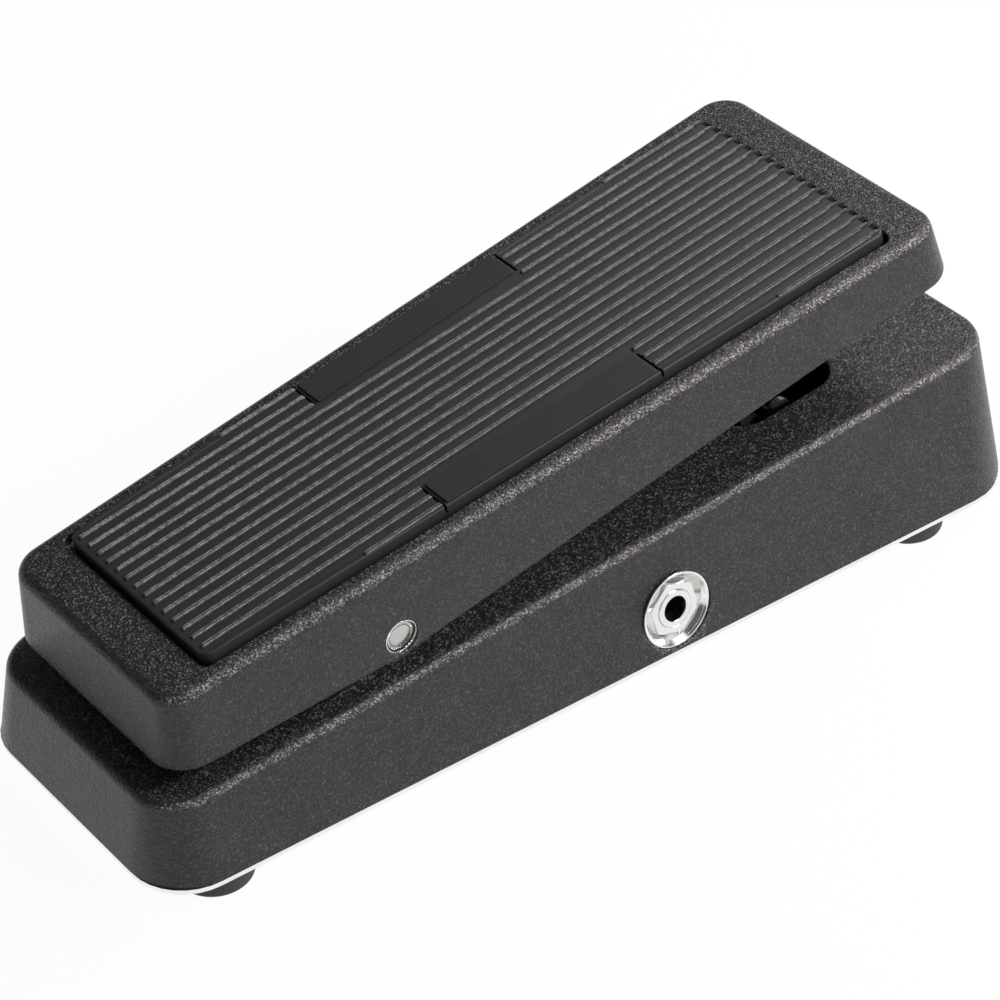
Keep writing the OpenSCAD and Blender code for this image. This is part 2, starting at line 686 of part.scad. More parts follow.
// Involute flanks: half the angle that a tooth spans at a radius.
base_circle = pitch_radius * cos(pressure_angle);
function involute(angle) = tan(angle) * 180 / PI - angle;
function tooth_half_angle(r) =
  90 / pinion_teeth - flank_clearance / pitch_radius * 180 / PI
  + involute(pressure_angle) - involute(acos(min(1, base_circle / r)));
flank_radii = [for (i = [0:5]) base_circle + (pinion_tip_radius - base_circle) * i / 5];
root_half_angle = tooth_half_angle(base_circle) - 3.5;

module pinion_profile() polygon([
  for (tooth = [0:pinion_teeth - 1])
    let (middle = rack_heading - 90 + tooth * 360 / pinion_teeth)
    for (p = concat(
      [[pinion_root_radius, -root_half_angle]],
      [for (r = flank_radii) [r, -tooth_half_angle(r)]],
      [for (i = [5:-1:0]) [flank_radii[i], tooth_half_angle(flank_radii[i])]],
      [[pinion_root_radius, root_half_angle]]
    )) [p[0] * cos(middle + p[1]), p[0] * sin(middle + p[1])]
]);

module pinion() color("gainsboro") difference() {
  union() {
    translate([pinion_left, pinion_y, pinion_z]) rotate([90, 0, 90])
      linear_extrude(pinion_width) pinion_profile();
    at_pinion(hub_left) cylinder(r = hub_radius, h = hub_length + 0.01);
    at_pinion(pinion_left + pinion_width - 0.6) cylinder(r = pinion_flange_radius, h = 0.6);
  }
  at_pinion(hub_left - 1) cylinder(r = pot_shaft_radius + 0.02, h = 30);
  translate([hub_left + hub_length / 2, pinion_y, pinion_z]) cylinder(r = 1.25, h = 10);
}

module pinion_set_screw() color("dimgray")
  translate([hub_left + hub_length / 2, pinion_y, pinion_z + pot_shaft_radius + 0.05])
    difference() {
      cylinder(r = 1.22, h = 2.2);
      translate([0, 0, 1.2]) cylinder(r = 0.7, h = 2, $fn = 6);
    }

module pot_shaft() color("silver") at_pinion(pot_front - pot_depth + 2)
  cylinder(r = pot_shaft_radius, h = shaft_right - pot_front + pot_depth - 2);

module pot_body() color("#8b8f94") difference() {
  union() {
    at_pinion(pot_front - pot_depth) cylinder(r = pot_radius, h = pot_depth);
    at_pinion(pot_front) cylinder(r = pot_bushing_radius, h = pot_bushing_length);
    translate([lug_x - 1.6, block_face_y, pinion_z - lug_pitch - 1.6])
      cube([3.2, block_depth, 2 * lug_pitch + 3.2]);
  }
  at_pinion(pot_front - pot_depth + 1.8) cylinder(r = pot_shaft_radius + 0.05, h = 30);
}

module pot_lugs() color("tan") for (i = [-1:1])
  translate([lug_x - 0.4, block_face_y - lug_length, pinion_z + i * lug_pitch - 1])
    cube([0.8, lug_length, 2]);

module pot_washer() color("silver") at_pinion(pot_front + bracket_thickness) difference() {
  cylinder(r = 5.6, h = pot_washer_thickness);
  translate([0, 0, -1]) cylinder(r = pot_bushing_radius + 0.1, h = 3);
}

module hex_nut(flats, thickness, bore) difference() {
  intersection() {
    cylinder(r = flats / 2 / cos(30), h = thickness, $fn = 6);
    cylinder(r1 = flats / 2 + 1.4, r2 = flats / 2 + 0.1, h = thickness);
  }
  translate([0, 0, -1]) cylinder(r = bore, h = thickness + 2);
}

module pot_nut() color("silver")
  at_pinion(pot_front + bracket_thickness + pot_washer_thickness)
    hex_nut(pot_nut_flats, pot_nut_thickness, pot_bushing_radius + thread_play);

module pot_bracket() color("silver") difference() {
  union() {
    translate([pot_front, bracket_heel_y, bracket_bottom])
      cube([bracket_thickness, bracket_toe_y - bracket_heel_y, bracket_top - bracket_bottom]);
    translate([tab_left, bracket_screw_ys[0] - 4, bracket_top - bracket_thickness])
      cube([pot_front + bracket_thickness - tab_left,
            bracket_screw_ys[1] - bracket_screw_ys[0] + 8, bracket_thickness]);
    translate([pot_front, bracket_heel_y, pinion_z - guide_height / 2 - 2])
      cube([rack_x + rack_width / 2 - pot_front, bracket_thickness, guide_height + 4]);
    translate([pot_front, pinion_y - 3, bracket_bottom])
      cube([keeper_left + bracket_thickness - pot_front, 12, bracket_thickness]);
    translate([keeper_left, 0, 0]) rotate([90, 0, 90]) linear_extrude(bracket_thickness) {
      polygon([
        [pinion_y - 3, bracket_bottom], [pinion_y + 9, bracket_bottom],
        [keeper_y + keeper_radius, keeper_top - keeper_radius],
        [keeper_y - keeper_radius, keeper_top - keeper_radius]
      ]);
      translate([keeper_y, keeper_top - keeper_radius]) circle(r = keeper_radius);
    }
  }
  at_pinion(pot_front - 1) cylinder(r = pot_bushing_radius + 0.1, h = 5);
  for (y = bracket_screw_ys) translate([bracket_boss_x, y, bracket_top - 5])
    cylinder(r = bracket_screw_radius + 0.15, h = 10);
  translate([rack_x, bracket_heel_y - 1, pinion_z]) rotate([-90, 0, 0])
    cylinder(r = 1.35, h = 5);
}

module bracket_screws() color("silver") for (y = bracket_screw_ys)
  translate([bracket_boss_x, y, bracket_top - bracket_thickness]) {
    cylinder(r = bracket_screw_radius - 0.1, h = bracket_thickness + 3.5);
    translate([0, 0, -1.6]) cylinder(r1 = 2.2, r2 = 2.7, h = 1.6);
  }

guide_back_y = bracket_heel_y + bracket_thickness;
module rack_guide() color("ivory") difference() {
  translate([rack_x - rack_width / 2, guide_back_y, pinion_z - guide_height / 2])
    cube([rack_width, guide_face_y - guide_back_y, guide_height]);
  translate([rack_x, guide_back_y - 1, pinion_z]) rotate([-90, 0, 0]) cylinder(r = 1.23, h = 4);
}

module rack_guide_screw() color("silver") translate([rack_x, bracket_heel_y, pinion_z])
  rotate([-90, 0, 0]) {
    cylinder(r = 1.2, h = bracket_thickness + 2.5);
    translate([0, 0, -1.4]) cylinder(r1 = 1.9, r2 = 2.3, h = 1.4);
  }

module jack_frame(side) color("#26262a") at_jack(side) difference() {
  union() {
    translate([-jack_frame_height / 2, -jack_frame_width / 2, frame_end])
      cube([jack_frame_height, jack_frame_width, jack_frame_length]);
    translate([0, 0, frame_face]) cylinder(r = jack_bushing_radius, h = bushing_end - frame_face);
  }
  translate([0, 0, bushing_end - plug_bore_length])
    cylinder(r = plug_bore_radius, h = plug_bore_length + 1);
  chamber_top = bushing_end - plug_bore_length;
  translate([0, 0, frame_end + 1.5])
    cylinder(r = plug_bore_radius + 1, h = chamber_top - frame_end - 1.5 + 0.01);
  translate([-jack_frame_height / 2 - 1, -2, frame_end - 1])
    cube([jack_frame_height / 2 + 1 - tip_tab_offset + tab_thickness / 2 + 0.05, 4,
          chamber_top - frame_end]);
  translate([sleeve_tab_offset - tab_thickness / 2, -1.5, frame_end - 1])
    cube([tab_thickness, 3, 2.4]);
}

module jack_contacts(side) color("gold") at_jack(side) {
  translate([-tip_tab_offset - tab_thickness / 2, -1.5, tab_end])
    cube([tab_thickness, 3, bushing_end - plug_bore_length - tab_end - 2]);
  translate([sleeve_tab_offset - tab_thickness / 2, -1.5, tab_end])
    cube([tab_thickness, 3, frame_end - tab_end + 1.4]);
}

module jack_washer(side) color("silver") at_jack(side) translate([0, 0, frame_face])
  difference() {
    cylinder(r = 7, h = jack_washer_thickness);
    translate([0, 0, -1]) cylinder(r = jack_bushing_radius + 0.1, h = 3);
  }

module jack_ferrule(side) color("gainsboro") at_jack(side) rotate_extrude() polygon([
  [jack_bushing_radius + 0.1, -seat_depth], [cup_radius, -seat_depth],
  [cup_radius, -rim_thickness], [ferrule_radius, -rim_thickness], [ferrule_radius, 0],
  [ferrule_radius - 0.5, 0], [jack_nut_flats / 2 + 1.3, -ferrule_depth],
  [jack_bushing_radius + 0.1, -ferrule_depth]
]);

module jack_nut(side) color("gainsboro") at_jack(side) translate([0, 0, -ferrule_depth])
  rotate([0, 0, 12]) hex_nut(jack_nut_flats, jack_nut_thickness, jack_bushing_radius + thread_play);

module input_jack_frame() jack_frame(1);
module input_jack_contacts() jack_contacts(1);
module input_jack_washer() jack_washer(1);
module input_jack_ferrule() jack_ferrule(1);
module input_jack_nut() jack_nut(1);
module output_jack_frame() jack_frame(-1);
module output_jack_contacts() jack_contacts(-1);
module output_jack_washer() jack_washer(-1);
module output_jack_ferrule() jack_ferrule(-1);
module output_jack_nut() jack_nut(-1);

// An eight-sided wire along its points, with a slightly fuller ball at each bend.
module wire(points) {
  for (i = [0:len(points) - 2]) {
    run = points[i + 1] - points[i];
    translate(points[i]) rotate([0, acos(run[2] / norm(run)), atan2(run[1], run[0])])
      cylinder(r = wire_radius, h = norm(run), $fn = 8);
  }
  for (i = [1:len(points) - 2]) translate(points[i]) sphere(r = wire_radius + 0.15, $fn = 8);
}

module signal_wires() color("firebrick") for (route = wire_routes) wire(route);

base_housing();
bottom_plate();
rubber_feet();
foot_screws();
heel_bumper();
toe_bumper();
pivot_bushings();
treadle();
tread_pad();
pivot_rod();
rack();
rack_pin();
rack_pin_clip();
pinion();
pinion_set_screw();
pot_shaft();
pot_body();
pot_lugs();
pot_washer();
pot_nut();
pot_bracket();
bracket_screws();
rack_guide();
rack_guide_screw();
input_jack_frame();
input_jack_contacts();
input_jack_washer();
input_jack_ferrule();
input_jack_nut();
output_jack_frame();
output_jack_contacts();
output_jack_washer();
output_jack_ferrule();
output_jack_nut();
signal_wires();
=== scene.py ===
import math

import bmesh
import bpy
import numpy as np
from mathutils import Matrix, Vector


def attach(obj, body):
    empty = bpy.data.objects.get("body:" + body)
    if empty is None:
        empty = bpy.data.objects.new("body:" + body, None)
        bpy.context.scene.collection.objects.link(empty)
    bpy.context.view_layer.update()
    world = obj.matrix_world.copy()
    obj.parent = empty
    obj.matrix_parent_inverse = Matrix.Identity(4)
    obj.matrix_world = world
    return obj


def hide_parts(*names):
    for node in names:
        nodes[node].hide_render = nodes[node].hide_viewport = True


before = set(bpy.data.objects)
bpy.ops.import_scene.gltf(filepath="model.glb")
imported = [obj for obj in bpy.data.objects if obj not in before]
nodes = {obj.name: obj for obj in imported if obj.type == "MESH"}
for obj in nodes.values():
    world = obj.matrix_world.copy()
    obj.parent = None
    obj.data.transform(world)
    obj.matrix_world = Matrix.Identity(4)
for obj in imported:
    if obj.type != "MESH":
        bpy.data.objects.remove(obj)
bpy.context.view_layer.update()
mm = 0.001
pivot = np.array([0.0, -57.6, 42.8646])  # middle of the rod; the pieces are drawn in mm
nearAxis = 0.01  # radius at which a solid turned profile starts
crispAngle = 35.0  # edges sharper than this stay crisp, in degrees
print("frame loaded:", len(nodes), "nodes")

cameraSet = {
    "azimuth": 53.389,  # degrees round from the heel towards the right side
    "elevation": 38.159,
    "roll": -2.242,
    "distance": 0.828564,
    "slideRight": 0.003056,
    "slideUp": -0.024145,
    "lens": 122.41,
    "sensor": 36,
}


def addCamera(setting):
    # The camera looks in from its azimuth and elevation, rolls, and then slides in its own plane.
    turn = math.radians(setting["azimuth"])
    lift = math.radians(setting["elevation"])
    roll = math.radians(setting["roll"])
    back = Vector((math.sin(turn) * math.cos(lift), -math.cos(turn) * math.cos(lift), math.sin(lift)))
    level = Vector((math.cos(turn), math.sin(turn), 0))
    upright = back.cross(level)
    right = math.cos(roll) * level + math.sin(roll) * upright
    up = math.cos(roll) * upright - math.sin(roll) * level
    place = back * setting["distance"] - right * setting["slideRight"] - up * setting["slideUp"]
    camera = bpy.data.objects.new("camera", bpy.data.cameras.new("camera"))
    camera.data.lens = setting["lens"]
    camera.data.sensor_width = setting["sensor"]
    camera.data.clip_start = 0.01
    camera.matrix_world = Matrix.Translation(place) @ Matrix((right, up, back)).transposed().to_4x4()
    bpy.context.scene.collection.objects.link(camera)
    bpy.context.scene.camera = camera


lampSet = {
    # name: place, point it faces, width, height, power, colour; in metres and watts
    "toeSoftbox": ((0.5, 0.42, 0.54), (0, 0.05, 0.03), 0.3, 0.2, 5.7, (1.0, 0.99, 0.98)),
    "toeTop": ((-0.16, 0.62, 0.7), (0, 0.05, 0.03), 0.26, 0.2, 2.9, (1.0, 0.97, 0.94)),
    "rightFill": ((1.2, -0.05, 0.5), (0, 0, 0.03), 1.0, 0.6, 2.4, (0.98, 0.98, 1.0)),
    "topSoftbox": ((0.3, 0.6, 1.2), (0, 0, 0), 1.0, 0.8, 3.0, (1.0, 1.0, 1.0)),
    "toeGlow": ((-0.35, 0.38, 0.42), (0, 0.12, 0.06), 0.35, 0.3, 0.3, (1.0, 1.0, 1.0)),
}


def addLamps():
    # Soft rectangles, each turned so that it faces its point.
    for name, (place, faces, width, height, power, colour) in lampSet.items():
        lamp = bpy.data.lights.new(name, "AREA")
        lamp.shape = "RECTANGLE"
        lamp.size = width
        lamp.size_y = height
        lamp.energy = power
        lamp.color = colour
        holder = bpy.data.objects.new(name, lamp)
        holder.location = place
        holder.rotation_euler = (Vector(place) - Vector(faces)).to_track_quat("Z", "Y").to_euler()
        bpy.context.scene.collection.objects.link(holder)


class Value:
    # A shader socket that Python's operators work on: each one adds a Math node.
    def __init__(self, paint, socket):
        self.paint = paint
        self.socket = socket

    def math(self, operation, first, second):
        return self.paint.node("ShaderNodeMath", {"operation": operation}, {0: first, 1: second})

    def __add__(self, other):
        return self.math("ADD", self, other)

    def __mul__(self, other):
        return self.math("MULTIPLY", self, other)

    def __sub__(self, other):
        return self.math("SUBTRACT", self, other)

    __radd__ = __add__
    __rmul__ = __mul__


class Paint:
    # A material being built: node() adds any node, its settings first and then its inputs.
    def __init__(self, name, owner=None):
        self.owner = owner or bpy.data.materials.new(name)
        self.owner.use_nodes = True
        self.tree = self.owner.node_tree
        self.tree.nodes.clear()

    def node(self, kind, settings=None, inputs=None, output=0):
        made = self.tree.nodes.new(kind)
        for name, value in (settings or {}).items():
            if name == "stops":
                for element, (position, level) in zip(made.color_ramp.elements, value):
                    element.position = position
                    element.color = (level, level, level, 1)
            else:
                setattr(made, name, value)
        for name, value in (inputs or {}).items():
            if isinstance(value, Value):
                self.tree.links.new(value.socket, made.inputs[name])
            else:
                made.inputs[name].default_value = value
        return Value(self, made.outputs[output]) if made.outputs else None

    def place(self):
        return self.node("ShaderNodeTexCoord", output="Object")

    def stretched(self, scale):
        return self.node("ShaderNodeMapping", None, {"Vector": self.place(), "Scale": scale})

    def noise(self, scale, detail=2.0, roughness=0.5, vector=None):
        inputs = {"Vector": vector or self.place(), "Scale": scale, "Detail": detail, "Roughness": roughness}
        return self.node("ShaderNodeTexNoise", None, inputs)

    def cells(self, scale):
        # A random level for each cell of a crowd of grains.
        return self.node("ShaderNodeTexVoronoi", None, {"Vector": self.place(), "Scale": scale}, "Color")

    def attribute(self, name):
        return self.node("ShaderNodeAttribute", {"attribute_name": name}, None, "Fac")

    def rising(self, value, span):
        # 0 below a span of levels, 1 above it, and a straight line within it.
        return self.node("ShaderNodeValToRGB", {"stops": zip(span, (0.0, 1.0))}, {0: value})

    def falling(self, value, span):
        return self.node("ShaderNodeValToRGB", {"stops": zip(span, (1.0, 0.0))}, {0: value})

    def blend(self, share, first, second):
        # A mix of two colours, each given as a colour or as the socket that makes it.
        colours = {6: (*first, 1) if isinstance(first, tuple) else first,
                   7: (*second, 1) if isinstance(second, tuple) else second}
        return self.node("ShaderNodeMix", {"data_type": "RGBA"}, {0: share, **colours}, 2)

    def bump(self, height, distance):
        return self.node("ShaderNodeBump", None, {"Height": height, "Distance": distance})

    def principled(self, sockets):
        shader = self.node("ShaderNodeBsdfPrincipled", None, sockets)
        self.node("ShaderNodeOutputMaterial", None, {"Surface": shader})
        return self.owner


paintSet = {
    "grains": 3400,  # in a metre, as the next three
    "blisters": 1600,
    "peel": 520,
    "mottle": 90,
    "depth": 0.34,  # mm
    "mottled": (0.3, 0.7),  # levels of the mottle over which the coat goes from dark to light
    "pitted": (0.28, 0.56),  # levels of the grain over which the pits fade out
    "bright": (0.68, 0.86),  # and over which the painted glints come in
    # levels of the grain and share of the painted glints on the rounded edges above right-hand walls
    "edgeBright": (0.52, 0.8),
    "edgeShare": 0.66,
    "roughness": 0.27,
    "specular": 0.45,
    "tint": (0.98, 0.93, 1.0),
    "dark": (0.0140, 0.0127, 0.0152),
    "light": (0.0232, 0.0212, 0.0250),
    # colour of the pits, which also serves as painted shade on flat tops
    "pitAndShade": (0.0045, 0.0040, 0.0047),
    "glint": (0.40, 0.38, 0.38),
}


def castingPaint():
    # Fine-wrinkle powder coat: a leathery grain on the walls, and pits and bright grains where the coat lies
    # flat or turns over the rounded edge above a right-hand wall. The bright grains are painted glints
    # standing in for highlights, and the extra pits on flat tops are painted shade.
    paint = Paint("castingPaint")
    upward, edge = paint.attribute("upward"), paint.attribute("edge")
    grain = paint.cells(paintSet["grains"])
    blister = paint.noise(paintSet["blisters"], 3.0, 0.6)
    peel = paint.noise(paintSet["peel"], 3.0, 0.55)
    height = 0.9 * blister + 0.5 * peel + 0.25 * grain
    mottle = paint.rising(paint.noise(paintSet["mottle"], 4.0, 0.6), paintSet["mottled"])
    ground = paint.blend(mottle, paintSet["dark"], paintSet["light"])
    # Pits in the grain, laid on more thickly on flat tops as painted shade.
    pitsAndTopShade = (0.3 + 0.7 * upward) * paint.falling(grain, paintSet["pitted"])
    # Painted glints: bright grains that stand in for highlights, more of them on flat tops.
    sparse = (0.16 + 0.3 * upward) * paint.rising(grain, paintSet["bright"])
    # More painted glints on the rounded edges above right-hand walls, where the lamps catch them.
    glints = sparse + paintSet["edgeShare"] * edge * paint.rising(grain, paintSet["edgeBright"])
    colour = paint.blend(glints, paint.blend(pitsAndTopShade, ground, paintSet["pitAndShade"]), paintSet["glint"])
    return paint.principled({
        "Base Color": colour, "Roughness": paintSet["roughness"] + 0.2 * pitsAndTopShade,
        "Specular IOR Level": paintSet["specular"], "Specular Tint": (*paintSet["tint"], 1),
        "Normal": paint.bump(height, paintSet["depth"] * mm),
    })


# Spans for the masks by which the casting's paint lays its painted glints and painted shade.
paintedLightSet = {
    "flat": (0.93, 0.985),  # upward part of a normal over which the coat starts to lie flat
    "edgeFrom": (0.24, 0.55),  # and over which a rounded edge starts and ends
    "edgeTo": (0.82, 0.94),
    "rightward": (0.25, 0.5),
}


def markPaintedLight(piece):
    # How flat each point lies, and whether it is on the rounded edge above a right-hand wall, both read from
    # the direction that the point's normal takes. The casting's paint lays its painted glints and painted
    # shade by these marks.
    normals = np.empty(len(piece.data.vertices) * 3)
    piece.data.vertices.foreach_get("normal", normals)
    across, _, level = normals.reshape(-1, 3).T

    def smooth(value, span):
        low, high = paintedLightSet[span]
        share = np.clip((value - low) / (high - low), 0, 1)
        return share * share * (3 - 2 * share)

    turning = smooth(level, "edgeFrom") * (1 - smooth(level, "edgeTo"))
    marks = {"upward": smooth(level, "flat"), "edge": turning * smooth(across, "rightward")}
    for name, values in marks.items():
        piece.data.attributes.new(name, "FLOAT", "POINT").data.foreach_set("value", values)


rubberSet = {
    "specks": 1500,  # in a metre, as the next three
    "grains": 700,
    "waves": 600,
    "clouds": 160,
    "streak": (1.0, 0.3, 1.0),  # draws the specks out along the pad
    "depth": 0.04,  # mm
    "scuffed": (0.44, 0.58),  # levels of the specks over which a crest turns pale
    "grained": (0.36, 0.64),
    "dark": (0.0150, 0.0148, 0.0182),
    "light": (0.0270, 0.0264, 0.0318),
    "panel": (0.0125, 0.0123, 0.0150),
    # pale colour of the crests: scuffing and painted highlight
    "scuffAndHighlight": (0.40, 0.396, 0.415),
}


def padRubber():
    # Moulded rubber: a low even sheen, with ridge crests painted pale in short streaks, which is scuffing
    # together with painted highlight on the crests' lit shoulders. The mark is above 0 on a crest and below 0
    # on a bare panel.
    paint = Paint("padRubber")
    crest = paint.attribute("crest")
    streaks = paint.noise(rubberSet["specks"], 3.0, 0.7, paint.stretched(rubberSet["streak"]))
    specks = paint.noise(rubberSet["specks"], 2.0, 0.6)
    paleShare = paint.rising(0.5 * streaks + 0.5 * specks, rubberSet["scuffed"])
    # The crest mark scales the pale streaks: scuffing, plus painted highlight on the lit shoulders.
    scuffAndHighlight = crest.math("MAXIMUM", crest, 0.0) * (0.3 + 0.7 * paleShare)
    cloud = paint.noise(rubberSet["clouds"], 4.0, 0.6)
    grain = paint.rising(0.5 * specks + 0.5 * paint.noise(rubberSet["grains"], 3.0), rubberSet["grained"])
    skin = paint.blend(0.5 * cloud + 0.5 * grain, rubberSet["dark"], rubberSet["light"])
    bare = crest.math("MAXIMUM", crest * -1.0, 0.0)
    skin = paint.blend(bare, skin, rubberSet["panel"])
    height = 0.6 * specks + 0.4 * paint.noise(rubberSet["waves"], 3.0)
    return paint.principled({
        "Base Color": paint.blend(scuffAndHighlight, skin, rubberSet["scuffAndHighlight"]),
        "Roughness": 0.4 + 0.14 * cloud + 0.16 * bare, "Normal": paint.bump(height, rubberSet["depth"] * mm),
    })


def footRubber():
    # Softer rubber with a faint pale bloom.
    paint = Paint("footRubber")
    bloom = paint.noise(300, 4.0, 0.6)
    return paint.principled({
        "Base Color": paint.blend(bloom, (0.018, 0.018, 0.019), (0.035, 0.035, 0.037)),
        "Roughness": 0.5 + 0.2 * bloom, "Normal": paint.bump(paint.noise(1800, 2.0), 0.05 * mm),
    })


def plainMetal(name, colour, roughness, grainScale=(1.0, 1.0, 1.0), grain=900, depth=0.01):
    # Bare or plated metal, with fine drawn lines where the grain is stretched one way.
    paint = Paint(name)
    lines = paint.noise(grain, 3.0, 0.6, paint.stretched(grainScale))
    stain = paint.noise(120, 3.0, 0.6)
    darker = tuple(0.8 * level for level in colour)
    return paint.principled({
        "Base Color": paint.blend(stain, darker, colour), "Metallic": 1.0,
        "Roughness": roughness - 0.08 + 0.16 * lines, "Normal": paint.bump(lines, depth * mm),
    })


bracketSet = {
    "dark": (0.12, 0.115, 0.08),
    # colour of the painted highlight on the top rim
    "bright": (0.9, 0.9, 0.88),
    "highlightFrom": 0.0400,  # height in metres
    "highlightOver": 1200.0,  # how fast the painted highlight sets in, in a metre
}


def passivatedSteel():
    # Dark yellow-passivated steel whose top rim carries a painted highlight: the colour turns bright above a
    # set height.
    paint = Paint("passivatedSteel")
    height = paint.node("ShaderNodeSeparateXYZ", None, {0: paint.place()}, 2)
    # Painted highlight: bright colour on the top rim, above a height.
    paleShare = paint.rising((height - bracketSet["highlightFrom"]) * bracketSet["highlightOver"], (0.0, 1.0))
    lines = paint.noise(700, 3.0, 0.6)
    return paint.principled({
        "Base Color": paint.blend(paleShare, bracketSet["dark"], bracketSet["bright"]), "Metallic": 1.0,
        "Roughness": 0.25 + 0.15 * lines, "Normal": paint.bump(lines, 0.01 * mm),
    })


def mouldedPlastic(name, colour, roughness):
    # Plain plastic, a little cloudy.
    paint = Paint(name)
    cloud = paint.noise(200, 3.0, 0.5)
    darker = tuple(0.85 * level for level in colour)
    return paint.principled({
        "Base Color": paint.blend(cloud, darker, colour), "Roughness": roughness - 0.05 + 0.1 * cloud,
        "Normal": paint.bump(paint.noise(1500, 2.0), 0.02 * mm),
    })


def closedShell(rows, ends):
    # Vertices and faces of rings stacked in rows: "loop" joins the last ring to the first, and "caps" closes
    # each end on a point in its middle.
    count, around = rows.shape[:2]
    points = rows.reshape(-1, 3)
    here = np.arange(count - 1 if ends == "caps" else count)[:, None] * around + np.arange(around)
    ahead = np.roll(here, -1, axis=1)
    size = count * around
    walls = np.stack([here, ahead, (ahead + around) % size, (here + around) % size], -1)
    faces = walls.reshape(-1, 4).tolist()
    if ends == "caps":
        points = np.vstack([points, rows[0].mean(0), rows[-1].mean(0)])
        ring = np.arange(around)
        after = np.roll(ring, -1)
        faces += np.stack([np.full(around, size), after, ring], -1).tolist()
        last = size - around
        faces += np.stack([np.full(around, size + 1), last + ring, last + after], -1).tolist()
    return points, faces


def addPiece(name, shells, material, sharpAngle=crispAngle):
    # One object from closed shells in millimetres, with its normals outwards and its edges kept crisp.
    points, faces, start = [], [], 0
    for shellPoints, shellFaces in shells:
        points.append(shellPoints)
        faces += [[start + index for index in face] for face in shellFaces]
        start += len(shellPoints)
    mesh = bpy.data.meshes.new(name)
    mesh.from_pydata((np.vstack(points) * mm).tolist(), [], faces)
    work = bmesh.new()
    work.from_mesh(mesh)
    bmesh.ops.recalc_face_normals(work, faces=work.faces)
    work.to_mesh(mesh)
    work.free()
    mesh.shade_smooth()
    mesh.set_sharp_from_angle(angle=math.radians(sharpAngle))
    mesh.materials.append(material)
    piece = bpy.data.objects.new(name, mesh)
    bpy.context.scene.collection.objects.link(piece)
    return piece


def cutAway(piece, holes):
    # Joins a piece's shells and takes the shells of its holes out of them, leaving a plain mesh.
    material = piece.data.materials[0]
    cutter = addPiece("cutter", holes, material)
    boolean = piece.modifiers.new("holes", "BOOLEAN")
    boolean.operation = "DIFFERENCE"
    boolean.solver = "EXACT"
    boolean.use_self = True
    boolean.object = cutter
    bpy.context.view_layer.update()
    cut = bpy.data.meshes.new_from_object(piece.evaluated_get(bpy.context.evaluated_depsgraph_get()))
    piece.modifiers.clear()
    piece.data = cut
    cut.name = piece.name
    cut.materials.clear()
    cut.materials.append(material)
    cut.polygons.foreach_set("material_index", np.zeros(len(cut.polygons), np.int32))
    cut.shade_smooth()
    cut.set_sharp_from_angle(angle=math.radians(crispAngle))
    bpy.data.objects.remove(cutter)


def along(origin, direction):
    # A function that sets points drawn round the z axis along a level or leaning direction from an origin.
    z = np.array(direction, float) / np.linalg.norm(direction)
    x = np.cross((0, 0, 1), z)
    x = x / np.linalg.norm(x)
    axes = np.stack([x, np.cross(z, x), z])
    return lambda points: points @ axes + np.array(origin, float)


def turned(profile, steps, place, ends, radiusAt=None):
    # A profile of radii and heights turned round the z axis. radiusAt may reshape the radius with the angle.
    profile = np.array(profile, float)
    angle = np.linspace(0, 2 * math.pi, steps, endpoint=False)
    radius = np.repeat(profile[:, :1], steps, axis=1)
    height = np.repeat(profile[:, 1:], steps, axis=1)
    if radiusAt:
        radius = radiusAt(radius, angle, height)
    points = np.stack([radius * np.cos(angle), radius * np.sin(angle), height], -1)
    return closedShell(place(points), ends)


def softened(corners, radius):
    # A closed profile with each corner rounded by five points of a curve, which leaves one side and meets
    # the next at the same distance from the corner.
    corners = np.array(corners, float)
    before = np.roll(corners, 1, axis=0) - corners
    after = np.roll(corners, -1, axis=0) - corners
    lengths = np.minimum(np.linalg.norm(before, axis=1), np.linalg.norm(after, axis=1))
    before /= np.linalg.norm(before, axis=1, keepdims=True)
    after /= np.linalg.norm(after, axis=1, keepdims=True)
    reach = np.minimum(np.broadcast_to(radius, len(corners)), 0.45 * lengths)[:, None, None]
    share = np.linspace(0, 1, 5)[None, :, None]
    start, end = corners[:, None] + before[:, None] * reach, corners[:, None] + after[:, None] * reach
    curve = (1 - share) ** 2 * start + 2 * share * (1 - share) * corners[:, None] + share ** 2 * end
    return curve.reshape(-1, 2)


def atHeight(flat, height):
    # Flat points lifted to one height, or each to its own.
    return np.column_stack([flat, np.broadcast_to(height, len(flat))])


def slab(profile, low, high, edge, place):
    # A closed outline given thickness, its two rims rounded by drawing the outline in towards its middle. A
    # row on each flat face keeps the rounding crisp.
    middle, margin = profile.mean(0), edge + 0.3
    reach = np.linalg.norm(profile - middle, axis=1, keepdims=True)
    turn = np.linspace(0, math.pi / 2, 4)
    rows = [(margin, low)]
    rows += [(edge * (1 - math.sin(angle)), low + edge * (1 - math.cos(angle))) for angle in turn]
    rows += [(edge * (1 - math.sin(angle)), high - edge * (1 - math.cos(angle))) for angle in turn[::-1]]
    rows.append((margin, high))
    rings = [atHeight(middle + (profile - middle) * (1 - inset / reach), level) for inset, level in rows]
    return closedShell(place(np.stack(rings)), "caps")


